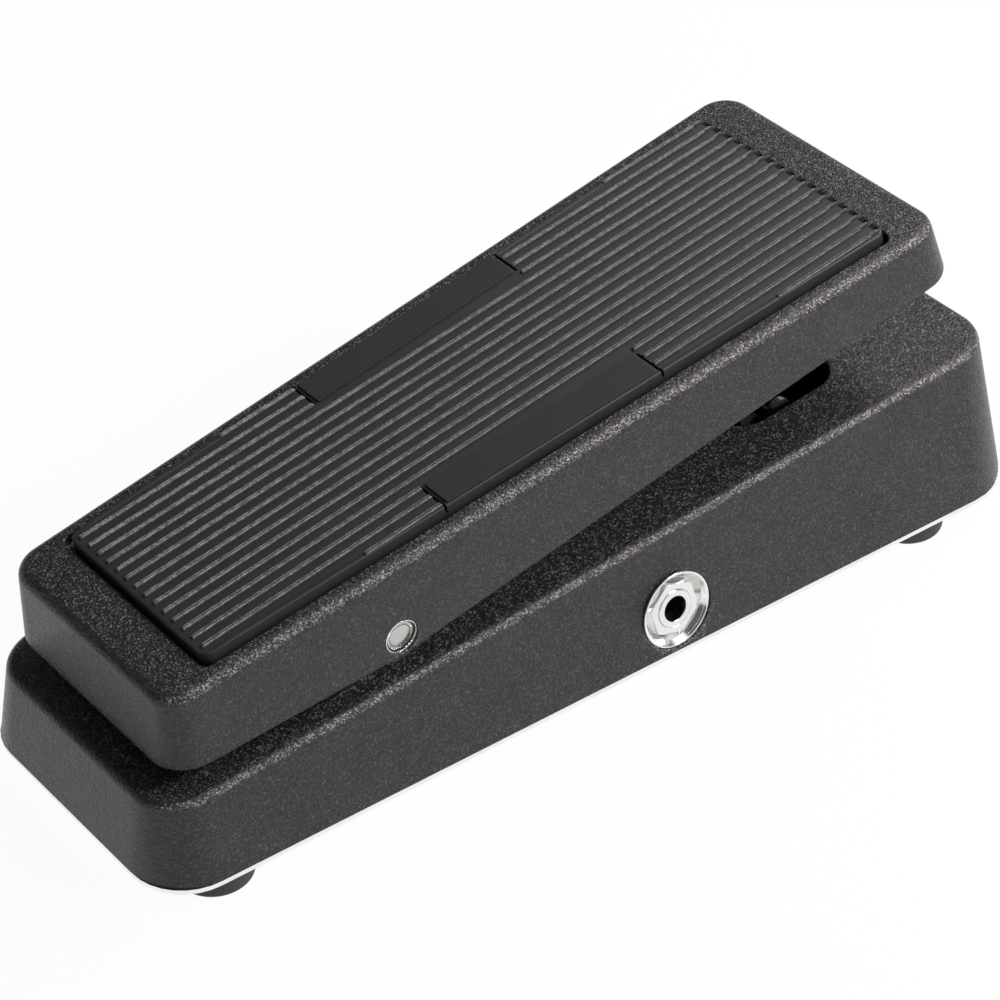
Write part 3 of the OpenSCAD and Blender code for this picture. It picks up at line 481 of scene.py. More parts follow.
def outlineStations(size, cornerSteps, sideSteps, endSteps):
    # Stations round a rounded trapezoid, counter-clockwise from its heel-right corner. Each lies on the arc
    # of a corner, or at a share of the way from the end of one arc to the start of the next.
    lean = math.degrees(math.atan(taperOf(size)))
    starts = [-90, -lean, 90, 180 + lean]
    ends = [-lean, 90, 180 + lean, 270]
    corner, angle, share = [], [], []
    for index, between in enumerate((sideSteps, endSteps, sideSteps, endSteps)):
        arc = np.linspace(starts[index], ends[index], cornerSteps)
        gap = np.arange(1, between) / between
        corner.append(np.full(len(arc) + len(gap), index))
        angle.append(np.concatenate([arc, np.full(len(gap), ends[index])]))
        share.append(np.concatenate([np.zeros(len(arc)), gap]))
    return {"corner": np.concatenate(corner), "angle": np.radians(np.concatenate(angle)),
            "share": np.concatenate(share)}


def taperOf(size):
    # How much each side spreads for each step towards the toe.
    return (size["toeHalf"] - size["heelHalf"]) / (size["heelEnd"] + size["toeEnd"])


def outline(size, at, rise=0.0, inset=0.0):
    # A drafted body's outline at a height: walls lean in by their draft, and corners tighten with them.
    sideLean = math.tan(math.radians(size["sideDraft"]))
    endLean = math.tan(math.radians(size["endDraft"]))
    cosine = 1 / math.hypot(1, taperOf(size))

    def onCorner(index):
        toe = (index == 1) | (index == 2)
        radius = np.where(toe, size["toeCorner"], size["heelCorner"]) - rise * sideLean - inset
        reach = np.where(toe, size["toeEnd"], size["heelEnd"]) - rise * endLean - inset - radius
        y = np.where(toe, reach, -reach)
        half = size["heelHalf"] + taperOf(size) * (y + size["heelEnd"])
        x = np.where(index < 2, 1, -1) * (half - (rise * sideLean + inset + radius) / cosine)
        return np.stack([x + radius * np.cos(at["angle"]), y + radius * np.sin(at["angle"])], -1)

    here, ahead = onCorner(at["corner"]), onCorner((at["corner"] + 1) % 4)
    return here + (ahead - here) * at["share"][:, None]


def wallNormals(size, at):
    # Outward normals of the drafted wall: level across the outline, tilted by how fast the outline draws in.
    draw = outline(size, at, 1.0) - outline(size, at, 0.0)
    level = np.stack([np.cos(at["angle"]), np.sin(at["angle"])], -1)
    normal = np.column_stack([level, -(draw * level).sum(-1)])
    return normal / np.linalg.norm(normal, axis=1, keepdims=True)


rollSteps = 12


def rolledEdge(edge, first, second, radius):
    # A ball rolled along an edge between two faces: its centre keeps its radius from both, and the rows swing
    # from the first face's normal to the second's.
    cosine = (first * second).sum(-1, keepdims=True)
    centre = edge - radius * (first + second) / (1 + cosine)
    turn = np.arccos(cosine)
    share = np.linspace(0, 1, rollSteps)[:, None, None]
    normals = (np.sin((1 - share) * turn) * first + np.sin(share * turn) * second) / np.sin(turn)
    return centre + radius * normals


def rowsBetween(first, second, shares):
    # Rings part of the way from one ring to another.
    return first + (second - first) * np.array(shares, float)[:, None, None]


housing = {
    "heelEnd": 127, "toeEnd": 127, "heelHalf": 40.25, "toeHalf": 50.8,
    "heelCorner": 16.5, "toeCorner": 20.4, "sideDraft": 11.5, "endDraft": 10,
    "bottom": 5.8, "heelHeight": 21, "toeHeight": 41, "fillet": 2.5, "wall": 3, "edge": 0.5,
    "slotX": 17.5, "slotY": 66.68, "slotHalfWidth": 8, "slotHalfStraight": 8.75, "slotEdge": 0.6,
    "lugInner": 24.0, "lugOuter": 30.5, "lugRadius": 7, "lugFoot": 10, "lugSunk": 1.5, "lugEdge": 0.5,
    "rodHole": 4.52, "rodReach": 40,
}
housingSlope = (housing["toeHeight"] - housing["heelHeight"]) / (housing["heelEnd"] + housing["toeEnd"])
slopeTurn = math.atan(housingSlope)


def housingTop(y):
    # Height of the sloping top at a place along the housing.
    return housing["bottom"] + housing["heelHeight"] + housingSlope * (y + housing["heelEnd"])


def riseToTop(at, inset, lower):
    # Height at which the wall of each station meets a plane at or below the sloping top.
    start = outline(housing, at, 0.0, inset)[:, 1]
    draw = outline(housing, at, 1.0, inset)[:, 1] - start
    climb = housing["heelHeight"] - lower + housingSlope * (start + housing["heelEnd"])
    return climb / (1 - housingSlope * draw)


def slotRing(ring, grow, down):
    # The slot's outline, some way below the top, seen from its middle at the same angles as a ring: a
    # straight side, or past it a round end.
    angle = np.arctan2(ring[:, 1] - housing["slotY"], ring[:, 0] - housing["slotX"])
    cosine, sine = np.abs(np.cos(angle)), np.abs(np.sin(angle))
    half, straight = housing["slotHalfWidth"] + grow, housing["slotHalfStraight"]
    toSide = half / np.maximum(cosine, 1e-6)
    toEnd = straight * sine + np.sqrt(np.maximum(half ** 2 - (straight * cosine) ** 2, 0))
    reach = np.where(toSide * sine <= straight, toSide, toEnd)
    x, y = housing["slotX"] + reach * np.cos(angle), housing["slotY"] + reach * np.sin(angle)
    return np.column_stack([x, y, housingTop(y) - down])


def makeHousing(material):
    # One closed wall, stacked in rings: up the outside, over the rolled edge, across the top into the slot
    # and down the inside. Two lugs stand on it, and the holes for the jacks and the rod are cut out.
    at = outlineStations(housing, 20, 90, 30)
    wall, edge = housing["wall"], housing["edge"]
    rise = riseToTop(at, 0, 0)
    topEdge = atHeight(outline(housing, at, rise), housing["bottom"] + rise)
    topNormal = np.array([0, -housingSlope, 1]) / math.hypot(1, housingSlope)
    topNormals = np.broadcast_to(topNormal, topEdge.shape)
    roll = rolledEdge(topEdge, wallNormals(housing, at), topNormals, housing["fillet"])
    foot = atHeight(outline(housing, at, edge), housing["bottom"] + edge)
    under = atHeight(outline(housing, at, 0, edge), housing["bottom"])
    outer = np.concatenate([under[None], rowsBetween(foot, roll[0], np.linspace(0, 1, 9)[:-1]), roll])

    lip = housing["slotEdge"]
    turn = np.linspace(0, math.pi / 2, 5)
    slotRim = [slotRing(roll[-1], lip * (1 - math.sin(angle)), lip * (1 - math.cos(angle))) for angle in turn]
    top = rowsBetween(roll[-1], slotRim[0], [0.012, 0.14, 0.28, 0.43, 0.57, 0.71, 0.86, 0.985])
    slotFoot = slotRing(roll[-1], 0, wall)

    innerRise = riseToTop(at, wall, wall)
    ceiling = atHeight(outline(housing, at, innerRise, wall), housing["bottom"] + innerRise)
    sill = atHeight(outline(housing, at, 0, wall), housing["bottom"])
    inner = rowsBetween(ceiling, sill, [0, 0.5, 1])
    rows = np.concatenate([outer, top, np.stack(slotRim), slotFoot[None], inner])
    shells = [closedShell(rows, "loop")]

    arc = np.radians(np.linspace(15, 165, 24))
    crown = pivot[1:] + housing["lugRadius"] * np.column_stack([np.cos(arc), np.sin(arc)])
    heel, toe, sunk = pivot[1] - housing["lugFoot"], pivot[1] + housing["lugFoot"], housing["lugSunk"]
    profile = np.vstack([crown, [[heel, housingTop(heel) - sunk], [toe, housingTop(toe) - sunk]]])
    for side in (-1, 1):
        low, high = sorted((side * housing["lugInner"], side * housing["lugOuter"]))
        shells.append(slab(profile, low, high, housing["lugEdge"], lambda points: points[..., [2, 0, 1]]))
    piece = addPiece("housingShell", shells, material)
    reach = housing["rodReach"]
    cutAway(piece, [jackHole(-1), jackHole(1), rodHole(housing["rodHole"], -reach, reach, pivot)])
    markPaintedLight(piece)
    return piece


jack = {
    "x": 44.114, "y": 15.1, "z": 16.8, "tilt": 8,
    "rim": 9.85, "rimThick": 0.5, "rimStep": 0.05, "dish": 3.0, "cup": 8.9, "seat": 4.0, "bore": 3.25,
    "bushing": 4.75, "nutFlats": 12.7, "nutThick": 2.1, "nutTurn": 12, "chamfer": 0.6, "chamferSlope": 2.2,
    "collarFoot": -2.9, "bushingEnd": -0.62, "slack": 0.03, "holeFrom": -12, "holeTo": 8,
}


def jackPlace(side):
    # Sets points drawn round the z axis into the side wall, square to it.
    tilt = math.radians(jack["tilt"])
    return along((side * jack["x"], jack["y"], jack["z"]), (side * math.cos(tilt), 0, math.sin(tilt)))


def jackHole(side):
    # The stepped hole that a jack's ferrule drops into.
    rim, cup, bore, seat = jack["rim"] + 0.12, jack["cup"] + 0.1, jack["bushing"] + 0.15, -jack["seat"]
    start, step, end = jack["holeFrom"], -jack["rimThick"], jack["holeTo"]
    profile = [(nearAxis, start), (bore, start), (bore, seat), (cup, seat), (cup, step), (rim, step)]
    profile += [(rim, end), (nearAxis, end)]
    return turned(profile, 96, jackPlace(side), "caps")


def makeJack(side, name, chrome):
    # The dished ferrule, the hexagonal nut in it, and the end of the threaded bushing.
    place = jackPlace(side)
    rim, dish, floor = jack["rim"], jack["dish"], jack["nutFlats"] / 2 + 1.15
    bore, cup, seat = jack["bushing"] + 0.05, jack["cup"], -jack["seat"]
    under, step = -jack["rimThick"], jack["rimStep"]
    ferrule = softened([
        (bore, seat), (cup, seat), (cup, under), (rim, under), (rim, step), (rim - 0.55, step),
        (floor, -dish), (bore, -dish),
    ], [0.1, 0.1, 0.1, 0.15, 0.25, 0.2, 0.5, 0.1])
    ferrulePiece = addPiece(name + "Ferrule", [turned(ferrule, 128, place, "loop")], chrome)

    flats, thick = jack["nutFlats"] / 2, jack["nutThick"]
    twist = math.radians(jack["nutTurn"] if side > 0 else -jack["nutTurn"])

    def hexagon(radius, angle, height):
        # A hexagon's edge at each angle, kept inside the chamfer's cone and outside the bore.
        folded = (angle - twist + math.pi / 6) % (math.pi / 3) - math.pi / 6
        chamfer = flats + jack["chamfer"] + jack["chamferSlope"] * (thick - (height + dish))
        outer = np.minimum(flats / np.cos(folded), chamfer)
        return np.where(radius > flats - 0.5, outer, radius)

    nut = [(bore, -dish), (flats, -dish)]
    nut += [(flats, -dish + thick * share) for share in (0.5, 0.7, 0.8, 0.85, 0.9, 0.95, 1.0)]
    nut += [(bore + 0.25, -dish + thick), (bore, -dish + thick - 0.25)]
    nutPiece = addPiece(name + "Nut", [turned(nut, 240, place, "loop", hexagon)], chrome, 25)
    inside, outside = jack["bore"] - jack["slack"], jack["bushing"] + jack["slack"]
    foot, end = jack["collarFoot"], jack["bushingEnd"]
    corners = [(inside, foot), (outside, foot), (outside, end), (inside, end)]
    collar = softened(corners, [0.05, 0.05, 0.2, 0.3])
    collarPiece = addPiece(name + "Collar", [turned(collar, 96, place, "loop")], chrome)
    return ferrulePiece, nutPiece, collarPiece


treadle = {
    "heelEnd": 57.4, "toeEnd": 163.4, "heelHalf": 32.5, "toeHalf": 39.5, "heelCorner": 8, "toeCorner": 8,
    "sideDraft": 4.4, "endDraft": 10.3, "tilt": 8.65, "top": 19.1, "fillet": 3.0, "wall": 3, "ceiling": 15.6,
    "skirtHeel": 19.6, "skirtPivot": 24.1, "skirtToe": 15.6, "lip": 0.5,
    "recessHeel": -44.5, "recessToe": 152, "recessBorder": 4.1, "recessDepth": 2.3, "recessCorner": 2.5,
    "bossX": 31.99, "bossRadius": 7.4, "bossThick": 2.4, "travel": 8.5,
    "earX": 16, "earY": 120, "earZ": 6, "earRadius": 4, "earFrom": 2.8, "earTo": 5.8, "earEdge": 0.3,
    "pinHole": 1.53, "pinReach": 9,
    "heelStop": (-102.1, 5.9), "toeStop": (92.0, 4.8), "rib": (18, 12), "ribReach": 60, "ribLet": 1.2,
}
tiltTurn = math.radians(treadle["tilt"])


def tipped(points, angle, about):
    # Points turned about a line along x, so that +y swings up towards +z.
    cosine, sine = math.cos(angle), math.sin(angle)
    return (points - about) @ np.array([[1, 0, 0], [0, cosine, sine], [0, -sine, cosine]]) + about


def onTreadle(points):
    # Sets points drawn level about the rod into the tilted treadle.
    return tipped(points, tiltTurn, np.zeros(3)) + pivot


def skirtDepth(y):
    # The skirt hangs deepest at the pivot and rises in a straight line to each end.
    return np.interp(y, [-treadle["heelEnd"], 0, treadle["toeEnd"]],
                     [treadle["skirtHeel"], treadle["skirtPivot"], treadle["skirtToe"]])


def panelOutline(at, heel, toe, border, corner):
    # A flat outline inside the treadle's long sides, with square ends at two places along it.
    size = {"heelEnd": -heel, "toeEnd": toe, "heelCorner": corner, "toeCorner": corner}
    size.update(sideDraft=0, endDraft=0)
    for end, y in (("heelHalf", heel), ("toeHalf", toe)):
        size[end] = treadle["heelHalf"] + taperOf(treadle) * (y + treadle["heelEnd"]) - border
    return outline(size, at)


def archToe(flat, toe):
    # Draws the toe end of a flat outline back towards its sides, so that it runs in a slight arc.
    share = np.clip((flat[:, 1] - (toe - pad["archFrom"])) / pad["archOver"], 0, 1)
    back = share * pad["arch"] * (flat[:, 0] / pad["archHalf"]) ** 2
    return flat - np.column_stack([np.zeros(len(flat)), back])


def towards(flat, share):
    # A flat ring drawn in towards its middle, to close a face without long thin triangles.
    return flat * share + flat.mean(0) * (1 - share)


def ribBlock(place, tip):
    # A stop rib: square to the housing's top where it lands, and let into the underside of the treadle.
    y, height = place
    half = np.array(treadle["rib"]) / 2
    corners = np.array([[-1, -1], [1, -1], [1, 1], [-1, 1]]) * half
    normal = np.array([0, -math.sin(slopeTurn), math.cos(slopeTurn)])
    flat = corners[:, :1] * [1, 0, 0] + corners[:, 1:] * [0, math.cos(slopeTurn), math.sin(slopeTurn)]
    foot = flat + np.array([0, y, housingTop(y)]) + normal * height
    head = foot + normal * treadle["ribReach"]
    foot, head = tipped(foot, tip, pivot), tipped(head, tip, pivot)

    def level(points):
        # Height above the rod, square to the treadle's top.
        return tipped(points - pivot, -tiltTurn, np.zeros(3))[:, 2]

    share = (treadle["ceiling"] + treadle["ribLet"] - level(foot)) / (level(head) - level(foot))
    return closedShell(np.stack([foot, foot + (head - foot) * share[:, None]]), "caps")


def makeTreadle(material):
    # One closed plate with a skirt, stacked in rings: from the ceiling down the inside, round the skirt's
    # lip, up the outside, over the rolled edge and into the pad's recess. Stop ribs, ears and bosses join it.
    at = outlineStations(treadle, 16, 140, 40)
    top, wall, lip = treadle["top"], treadle["wall"], treadle["lip"]
    edge = outline(treadle, at)
    depth = skirtDepth(edge[:, 1])
    draw = outline(treadle, at, -1.0) - edge
    level = np.broadcast_to(np.array([0.0, 0.0, 1.0]), (len(edge), 3))
    roll = rolledEdge(atHeight(edge, top), wallNormals(treadle, at), level, treadle["fillet"])

    def wallAt(below, inset=0.0):
        # A ring on the drafted wall at its depth below the top, or as far inside it as the inset.
        return np.column_stack([outline(treadle, at, 0.0, inset) + draw * below[:, None], top - below])

    quarter = np.linspace(0, math.pi / 2, 4)[::-1]
    rounding = [(lip * (1 - math.sin(turn)), lip * (1 - math.cos(turn))) for turn in quarter]
    lower = [wallAt(depth - up, wall - inset) for inset, up in rounding]
    lower += [wallAt(depth - up, inset) for up, inset in rounding]
    inside = wallAt(np.full(len(edge), top - treadle["ceiling"]), wall)
    heel, toe = treadle["recessHeel"], treadle["recessToe"]
    recess = archToe(panelOutline(at, heel, toe, treadle["recessBorder"], treadle["recessCorner"]), toe)
    away = (recess - recess.mean(0)) / np.linalg.norm(recess - recess.mean(0), axis=1, keepdims=True)
    rim = [atHeight(recess + away * out, top - down) for out, down in ((0.3, 0), (0.09, 0.09), (0, 0.3))]
    floor = top - treadle["recessDepth"]
    rows = np.concatenate([
        atHeight(towards(inside[:, :2], 0.3), treadle["ceiling"])[None], inside[None], np.stack(lower),
        rowsBetween(lower[-1], roll[0], np.linspace(0, 1, 9)[1:-1]), roll,
        rowsBetween(roll[-1], rim[0], [0.06, 0.33, 0.67, 0.94]), np.stack(rim),
        np.stack([atHeight(recess, floor), atHeight(towards(recess, 0.3), floor)]),
    ])
    shells = [closedShell(onTreadle(rows), "caps"), ribBlock(treadle["heelStop"], 0),
              ribBlock(treadle["toeStop"], math.radians(treadle["travel"]))]

    arc = np.radians(np.linspace(180, 360, 20))
    y, z, radius, root = treadle["earY"], treadle["earZ"], treadle["earRadius"], treadle["ceiling"] + 0.5
    ear = np.vstack([np.column_stack([y + radius * np.cos(arc), z + radius * np.sin(arc)]),
                     [[y + radius, root], [y - radius, root]]])
    thick = treadle["bossThick"]
    boss = [(nearAxis, 0), (treadle["bossRadius"], 0), (treadle["bossRadius"], thick), (nearAxis, thick)]
    for side in (-1, 1):
        low, high = sorted(treadle["earX"] + side * treadle[face] for face in ("earFrom", "earTo"))
        edge = treadle["earEdge"]
        shells.append(slab(ear, low, high, edge, lambda points: onTreadle(points[..., [2, 0, 1]])))
        place = along(pivot + [side * treadle["bossX"], 0, 0], (side, 0, 0))
        shells.append(turned(boss, 48, place, "caps"))
    piece = addPiece("treadleShell", shells, material)
    start, reach, slack = treadle["bossX"] - 1, rod["reach"], rod["slack"]
    pinFrom, pinTo = treadle["earX"] - treadle["pinReach"], treadle["earX"] + treadle["pinReach"]
    cutAway(piece, [
        rodHole(rod["lining"][1] + slack, start, reach, pivot),
        rodHole(rod["radius"] + slack, -reach, -start, pivot),
        rodHole(treadle["pinHole"], pinFrom, pinTo, onTreadle(np.array([0, y, z]))),
    ])
    markPaintedLight(piece)
    return piece


def rodHole(radius, low, high, centre):
    # A plain round hole along x.
    place = along(centre * [0, 1, 1] + [low, 0, 0], (1, 0, 0))
    profile = [(nearAxis, 0), (radius, 0), (radius, high - low), (nearAxis, high - low)]
    return turned(profile, 64, place, "caps")


rod = {
    "radius": 3.0, "headRadius": 3.95, "headFrom": 32.19, "end": 34.99,
    "teeth": 36, "toothDepth": 0.38, "lining": (4.0, 4.25), "liningFrom": 33.4, "liningTo": 35.5,
    "faceRadius": 2.7, "groove": 0.35, "slack": 0.03, "reach": 60,
}


def makeRod(material):
    # The head's rim is cut into teeth, round a flat face with a turned ring about it.
    shank, head, face = rod["radius"], rod["headRadius"], rod["faceRadius"]
    start, end, groove = rod["headFrom"], rod["end"], rod["end"] - rod["groove"]
    profile = [(nearAxis, -end), (shank - 0.4, -end), (shank, -end + 0.4)]
    profile += [(shank, x) for x in (-20, 0, 20)]
    profile += [(shank, start), (head - 0.15, start), (head, start + 0.15)]
    profile += [(head, end - 0.45), (head - 0.12, end - 0.12), (head - 0.4, end)]
    profile += [(face + 0.5, end), (face + 0.28, groove), (face + 0.12, groove)]
    profile += [(face, end - 0.05), (face - 0.1, end), (1.2, end), (nearAxis, end)]

    def toothed(radius, angle, x):
        # A flattened wave cut into the rim of the head.
        wave = np.abs((angle * rod["teeth"] / (2 * math.pi)) % 1 - 0.5) * 2
        depth = rod["toothDepth"] * np.clip(1.6 * (1 - wave) - 0.2, 0, 1)
        return radius - np.where((radius > face + 0.45) & (x > 0), depth, 0)

    shell = turned(profile, 288, along(pivot, (1, 0, 0)), "caps", toothed)
    return addPiece("pivotRodTurned", [shell], material, 30)


pad = {
    "heel": -43.4, "toe": 151.7, "border": 5.6, "corner": 3.0, "bottom": 16.8, "floor": 20.6,
    "slopeFrom": 19.3, "slopeIn": 0.35, "edge": 0.3, "rimWidth": 1.0, "rimHeight": 0.16, "rimFade": 147.5,
    "arch": 0.8, "archHalf": 32, "archFrom": 8, "archOver": 6,
    "notchFrom": 149.7, "notchGap": 0.62, "pitch": 3.74, "ridges": 18, "ridgeWidth": 1.12,
    "ridgeHeight": 0.55, "ridgeHeel": 1.7, "ridgeToe": 150.3,
    "panelFrom": 21.5, "panelTo": 83.1, "panelWidth": 9.2, "panelHeight": 0.45, "tick": 0.9, "tickWidth": 0.7,
}


def padHalf(y):
    # Half the pad's width at a place along it.
    return treadle["heelHalf"] + taperOf(treadle) * (y + treadle["heelEnd"]) - pad["border"]


def arched(y, x):
    # A place along the pad, drawn back towards its sides.
    return y - pad["arch"] * (x / pad["archHalf"]) ** 2


def padBlock(x, y, z):
    # A plain block between two places along each axis of the treadle, to cut with.
    corners = np.array([[x[0], y[0]], [x[1], y[0]], [x[1], y[1]], [x[0], y[1]]])
    return closedShell(onTreadle(np.stack([atHeight(corners, z[0]), atHeight(corners, z[1])])), "caps")


def makePadBase(material):
    # A sheet with sloped sides and a low rim, notched between the ridges at its toe end and cut across at
    # both ends of each panel.
    at = outlineStations(treadle, 10, 120, 40)
    floor, edge, slope = pad["floor"], pad["edge"], pad["slopeIn"]

    def ring(inset, height, rim=0.0):
        # The outline drawn in, at a height; the rim fades out towards both ends.
        heel, toe, corner = pad["heel"] + inset, pad["toe"] - inset, max(pad["corner"] - inset, 0.5)
        flat = archToe(panelOutline(at, heel, toe, pad["border"] + inset, corner), pad["toe"])
        fade = np.minimum(pad["rimFade"] - flat[:, 1], flat[:, 1] - pad["heel"] - 3)
        return atHeight(flat, height + rim * np.clip(fade / 1.5, 0, 1))

    quarter = np.linspace(0, math.pi / 2, 4)
    rim = pad["rimHeight"]
    base = ring(0, pad["bottom"])
    outer = [base, ring(0, pad["slopeFrom"]), ring(0.06, pad["slopeFrom"] + 0.12)]
    for turn in quarter:
        inset, sunk = slope - edge + edge * (1 - math.cos(turn)), edge * (1 - math.sin(turn))
        outer.append(ring(inset, floor + 0.01 - sunk, rim))
    foot = slope + pad["rimWidth"]
    inner = [ring(foot - 0.3 * math.cos(turn), floor, rim * math.cos(turn)) for turn in quarter]
    last = ring(foot + 0.3, floor)
    rows = np.stack([atHeight(towards(base[:, :2], 0.3), pad["bottom"])] + outer + inner
                    + [last, atHeight(towards(last[:, :2], 0.3), floor)])
    piece = addPiece("treadPadSheet", [closedShell(onTreadle(rows), "caps")], material)

    holes = []
    half, gap = pad["ridges"] // 2, pad["notchGap"]
    for index in range(-half, half - 1):
        x = (index + 0.5) * pad["pitch"]
        middle = x + pad["pitch"] / 2
        place = (arched(pad["notchFrom"], middle), pad["toe"] + 4)
        holes.append(padBlock((x + gap, x + pad["pitch"] - gap), place, (pad["bottom"] - 0.5, floor + 2)))
    width = pad["tickWidth"] / 2
    for side in (-1, 1):
        for y in (pad["panelFrom"], pad["panelTo"]):
            reach = sorted((side * (padHalf(y) - pad["panelWidth"]), side * (padHalf(y) + 2)))
            holes.append(padBlock(reach, (y - width, y + width), (pad["slopeFrom"] - 0.3, floor + 2)))
    cutAway(piece, holes)
    return piece


def makePadRidges(material):
    # Ridges along the pad, each from where the pad is wide enough for it, and the bare raised panel beside
    # each long edge, which takes the place of the ridges there.
    floor, shells, crests = pad["floor"], [], []

    def addBar(x, start, end, shoulder):
        # A rounded bar whose ends dip; its right-hand flank stops short where it has a shoulder.
        height = pad["ridgeHeight"]
        flank = np.array([1.06, 1.0, 0.93, 0.78, 0.35]) * (pad["ridgeWidth"] / 2)
        across = np.concatenate([-flank, [0.0], flank[::-1]])
        up = np.array([-0.3, height - 0.2, height - 0.06, height, height, height])
        up = np.concatenate([up, up[-2::-1]])
        marks = [0, 0.12, 0.3, 0.6]
        count = max(int((end - start) / 2), 4)
        place = np.concatenate([start + np.array(marks), np.linspace(start + 1.2, end - 4.2, count),
                                end - np.array([3.4, 3.0, 2.7, 2.5, 2.2, 1.2, 0.6, 0.3, 0.12, 0])])
        dip = np.interp(np.minimum(place - start, end - place), marks, [0.5, 0.82, 0.96, 1])
        rise = np.where(up > 0, up * dip[:, None], up)
        width = np.interp(end - place, [2.2, 3.0], [0.25, 1.0]) if shoulder else np.ones(len(place))
        narrow = np.where(across > 0, width[:, None], 1)
        length = np.broadcast_to(place[:, None], rise.shape)
        points = np.stack([x + across * narrow, length, floor + rise], -1)
        shells.append(closedShell(onTreadle(points), "caps"))
        # The crest mark across each ridge: scuffing plus painted highlight, strongest on the crest's
        # shoulders, brighter on the left flank than the right, brighter in the middle on ridges further left,
        # and fading towards the toe.
        middle = np.interp(x, [-33, 33], [0.75, 0.15])
        scuffAndHighlightMark = np.array([0, 0.3, 0.9, 1.0, middle, middle, middle, 1.0, 0.7, 0.2, 0])
        fade = np.interp(place, [-40, 40, 150], [1.0, 0.72, 0.58])
        crests.append(np.concatenate([(scuffAndHighlightMark * fade[:, None]).ravel(), [0, 0]]))

    half = pad["ridges"] // 2
    for index in range(-half, half):
        x = (index + 0.5) * pad["pitch"]
        reach = abs(x) + pad["ridgeWidth"] / 2 + 0.1
        wideFrom = (reach - treadle["heelHalf"] + pad["border"]) / taperOf(treadle) - treadle["heelEnd"] + 0.2
        start = max(pad["heel"] + pad["ridgeHeel"], wideFrom)
        end = arched(pad["ridgeToe"], x)
        if start < pad["panelFrom"] and abs(x) > padHalf(pad["panelFrom"]) - pad["panelWidth"] - 0.3:
            addBar(x, start, pad["panelFrom"] - 0.2, False)
            addBar(x, pad["panelTo"] + 0.2, end, True)
        else:
            addBar(x, start, end, True)

    for side in (-1, 1):
        start, stop = pad["panelFrom"] + pad["tick"], pad["panelTo"] - pad["tick"]
        near, far = pad["panelWidth"], pad["slopeIn"] + 0.35
        corners = np.array([[side * (padHalf(start) - near), start], [side * (padHalf(start) - far), start],
                            [side * (padHalf(stop) - far), stop], [side * (padHalf(stop) - near), stop]])
        shells.append(slab(softened(corners, 0.5), floor - 0.3, floor + pad["panelHeight"], 0.25, onTreadle))
        crests.append(np.full(len(shells[-1][0]), -1.0))
    piece = addPiece("treadPadRidges", shells, material)
    scuffAndHighlightMark = piece.data.attributes.new("crest", "FLOAT", "POINT")
    scuffAndHighlightMark.data.foreach_set("value", np.concatenate(crests))
    return piece


def makeLining(material):
    # A thin bright sleeve that lines the bore round the rod's head.
    inner, outer = rod["lining"]
    start, end = rod["liningFrom"], rod["liningTo"]
    profile = softened([(inner, start), (outer, start), (outer, end), (inner, end)], 0.06)
    shell = turned(profile, 96, along(pivot, (1, 0, 0)), "loop")
    return addPiece("pivotBoreLining", [shell], material)


feet = {
    "spots": [(31.4, -109), (39.8, 93.2)], "ground": 8.4, "radius": 9.2, "chamfer": 0.8, "height": 4.6,
    "headRadius": 4, "headSeat": 2.6, "screwHole": 2.1,
}


def makeFeet(material):
    # Four round feet, each with a bore for its screw and a counterbore for the screw's head.
    radius, chamfer, top = feet["radius"], feet["chamfer"], feet["height"]
    head, seat, hole = feet["headRadius"], feet["headSeat"], feet["screwHole"]
    profile = softened([
        (head, 0), (feet["ground"], 0), (radius, chamfer), (radius, top), (hole, top), (hole, seat),
        (head, seat),
    ], [0.4, 0.4, 0.5, 0.2, 0.1, 0.1, 0.2])
    shells = []
    for x, y in feet["spots"]:
        for side in (-1, 1):
            place = np.array([side * x, y, 0])
            shells.append(turned(profile, 64, lambda points: points + place, "loop"))
    return addPiece("rubberFeetMoulded", shells, material)


worldSet = {"ambient": 0.12, "floorSize": 4.0, "floorWhite": 0.85, "floorShown": 0.95}


def raysSeen(paint, names):
    # 1 for rays of these kinds, and 0 for the rest.
    path = paint.node("ShaderNodeLightPath").socket.node
    total = sum(Value(paint, path.outputs[name]) for name in names)
    return paint.node("ShaderNodeClamp", None, {0: total})


def makeWorld():
    # White to the camera, and a soft grey light on everything else.
    world = bpy.data.worlds.new("studio")
    bpy.context.scene.world = world
    paint = Paint("studio", world)
    soft = paint.node("ShaderNodeBackground", None, {"Strength": worldSet["ambient"], "Color": (1, 1, 1, 1)})
    white = paint.node("ShaderNodeBackground", None, {"Strength": 1.0, "Color": (1, 1, 1, 1)})
    share = raysSeen(paint, ["Is Camera Ray", "Is Transmission Ray"])
    mixed = paint.node("ShaderNodeMixShader", None, {0: share, 1: soft, 2: white})
    paint.node("ShaderNodeOutputWorld", None, {"Surface": mixed})


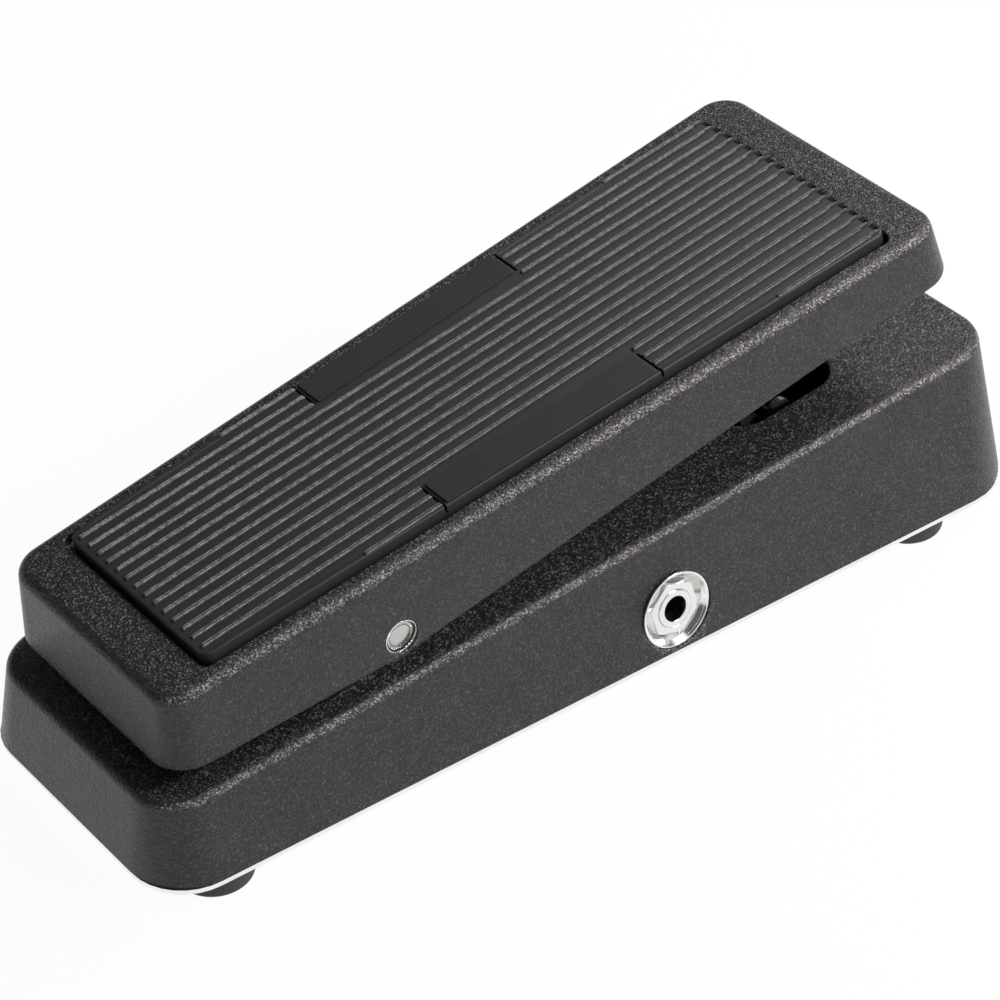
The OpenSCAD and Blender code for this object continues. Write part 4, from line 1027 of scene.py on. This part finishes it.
def makeFloor():
    # A pale floor that looks white from the camera and in mirrors, and keeps the object's shadow.
    half = worldSet["floorSize"] / 2
    corners = [(-half, -half, 0), (half, -half, 0), (half, half, 0), (-half, half, 0)]
    mesh = bpy.data.meshes.new("floor")
    mesh.from_pydata(corners, [], [(0, 1, 2, 3)])
    floor = bpy.data.objects.new("floor", mesh)
    bpy.context.scene.collection.objects.link(floor)
    paint = Paint("floorPaint")
    level = worldSet["floorWhite"]
    matt = paint.node("ShaderNodeBsdfDiffuse", None, {"Color": (level, level, level, 1)})
    white = paint.node("ShaderNodeEmission", None, {"Strength": 1.0, "Color": (1, 1, 1, 1)})
    seen = raysSeen(paint, ["Is Camera Ray", "Is Glossy Ray", "Is Transmission Ray"])
    mixed = paint.node("ShaderNodeMixShader", None, {0: worldSet["floorShown"] * seen, 1: matt, 2: white})
    paint.node("ShaderNodeOutputMaterial", None, {"Surface": mixed})
    mesh.materials.append(paint.owner)


bpy.context.scene.view_settings.view_transform = "Standard"
addCamera(cameraSet)
addLamps()
makeWorld()
makeFloor()
print("camera, lamps and floor done")

casting = castingPaint()
rubber = footRubber()
chrome = plainMetal("polishedChrome", (0.93, 0.93, 0.92), 0.2, grain=300, depth=0.002)
steel = plainMetal("turnedSteel", (0.6, 0.59, 0.57), 0.26, (1.0, 1.0, 1.0), 1400, 0.012)
finishes = {
    "zinc_plate": plainMetal("zincPlate", (1.0, 1.0, 0.99), 0.3, (1.0, 0.1, 1.0), 1200),
    "bracket_steel": passivatedSteel(),
    "plated_steel": plainMetal("platedSteel", (0.6, 0.59, 0.57), 0.3),
    "rod_steel": steel,
    "spring_steel": plainMetal("springSteel", (0.22, 0.21, 0.21), 0.4),
    "pot_can": plainMetal("potCan", (0.5, 0.49, 0.46), 0.38),
    "tinned_brass": plainMetal("tinnedBrass", (0.7, 0.62, 0.42), 0.32),
    "foot_rubber": rubber,
    "nylon": mouldedPlastic("nylonDark", (0.03, 0.029, 0.024), 0.4),
    "jack_plastic": mouldedPlastic("jackPlastic", (0.012, 0.012, 0.013), 0.4),
    "wire_jacket": mouldedPlastic("wireJacket", (0.35, 0.03, 0.025), 0.45),
}
slots = {
    "zinc_plate": ["bottom_plate"],
    "bracket_steel": ["pot_bracket"],
    "plated_steel": ["foot_screws", "rack_pin", "pot_washer", "pot_nut", "bracket_screws", "rack_guide_screw",
                     "input_jack_washer", "output_jack_washer"],
    "rod_steel": ["pot_shaft"],
    "spring_steel": ["rack_pin_clip", "pinion_set_screw"],
    "pot_can": ["pot_body"],
    "tinned_brass": ["pot_lugs", "input_jack_contacts", "output_jack_contacts"],
    "foot_rubber": ["heel_bumper", "toe_bumper"],
    "nylon": ["pivot_bushings", "rack", "pinion", "rack_guide"],
    "jack_plastic": ["input_jack_frame", "output_jack_frame"],
    "wire_jacket": ["signal_wires"],
}
for name, members in slots.items():
    for member in members:
        nodes[member].data.materials.clear()
        nodes[member].data.materials.append(finishes[name])
print("materials done")

padSkin = padRubber()
shown = [
    (makeHousing(casting), "base", "casting_paint", "base_housing"),
    (makeTreadle(casting), "treadle", "casting_paint", "treadle"),
    (makePadBase(padSkin), "treadle", "pad_rubber", "tread_pad"),
    (makePadRidges(padSkin), "treadle", "pad_rubber", None),
    (makeRod(steel), "treadle", "rod_steel", "pivot_rod"),
    (makeLining(chrome), "treadle", "rod_steel", None),
    (makeFeet(rubber), "base", "foot_rubber", "rubber_feet"),
]
for side, name in ((1, "input_jack"), (-1, "output_jack")):
    ferrule, nut, collar = makeJack(side, name, chrome)
    for piece, node in ((ferrule, name + "_ferrule"), (nut, name + "_nut"), (collar, None)):
        shown.append((piece, "base", "jack_chrome", node))
for piece, body, slot, node in shown:
    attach(piece, body)
    if node:
        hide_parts(node)
    print(piece.name, "has", len(piece.data.polygons), "faces")
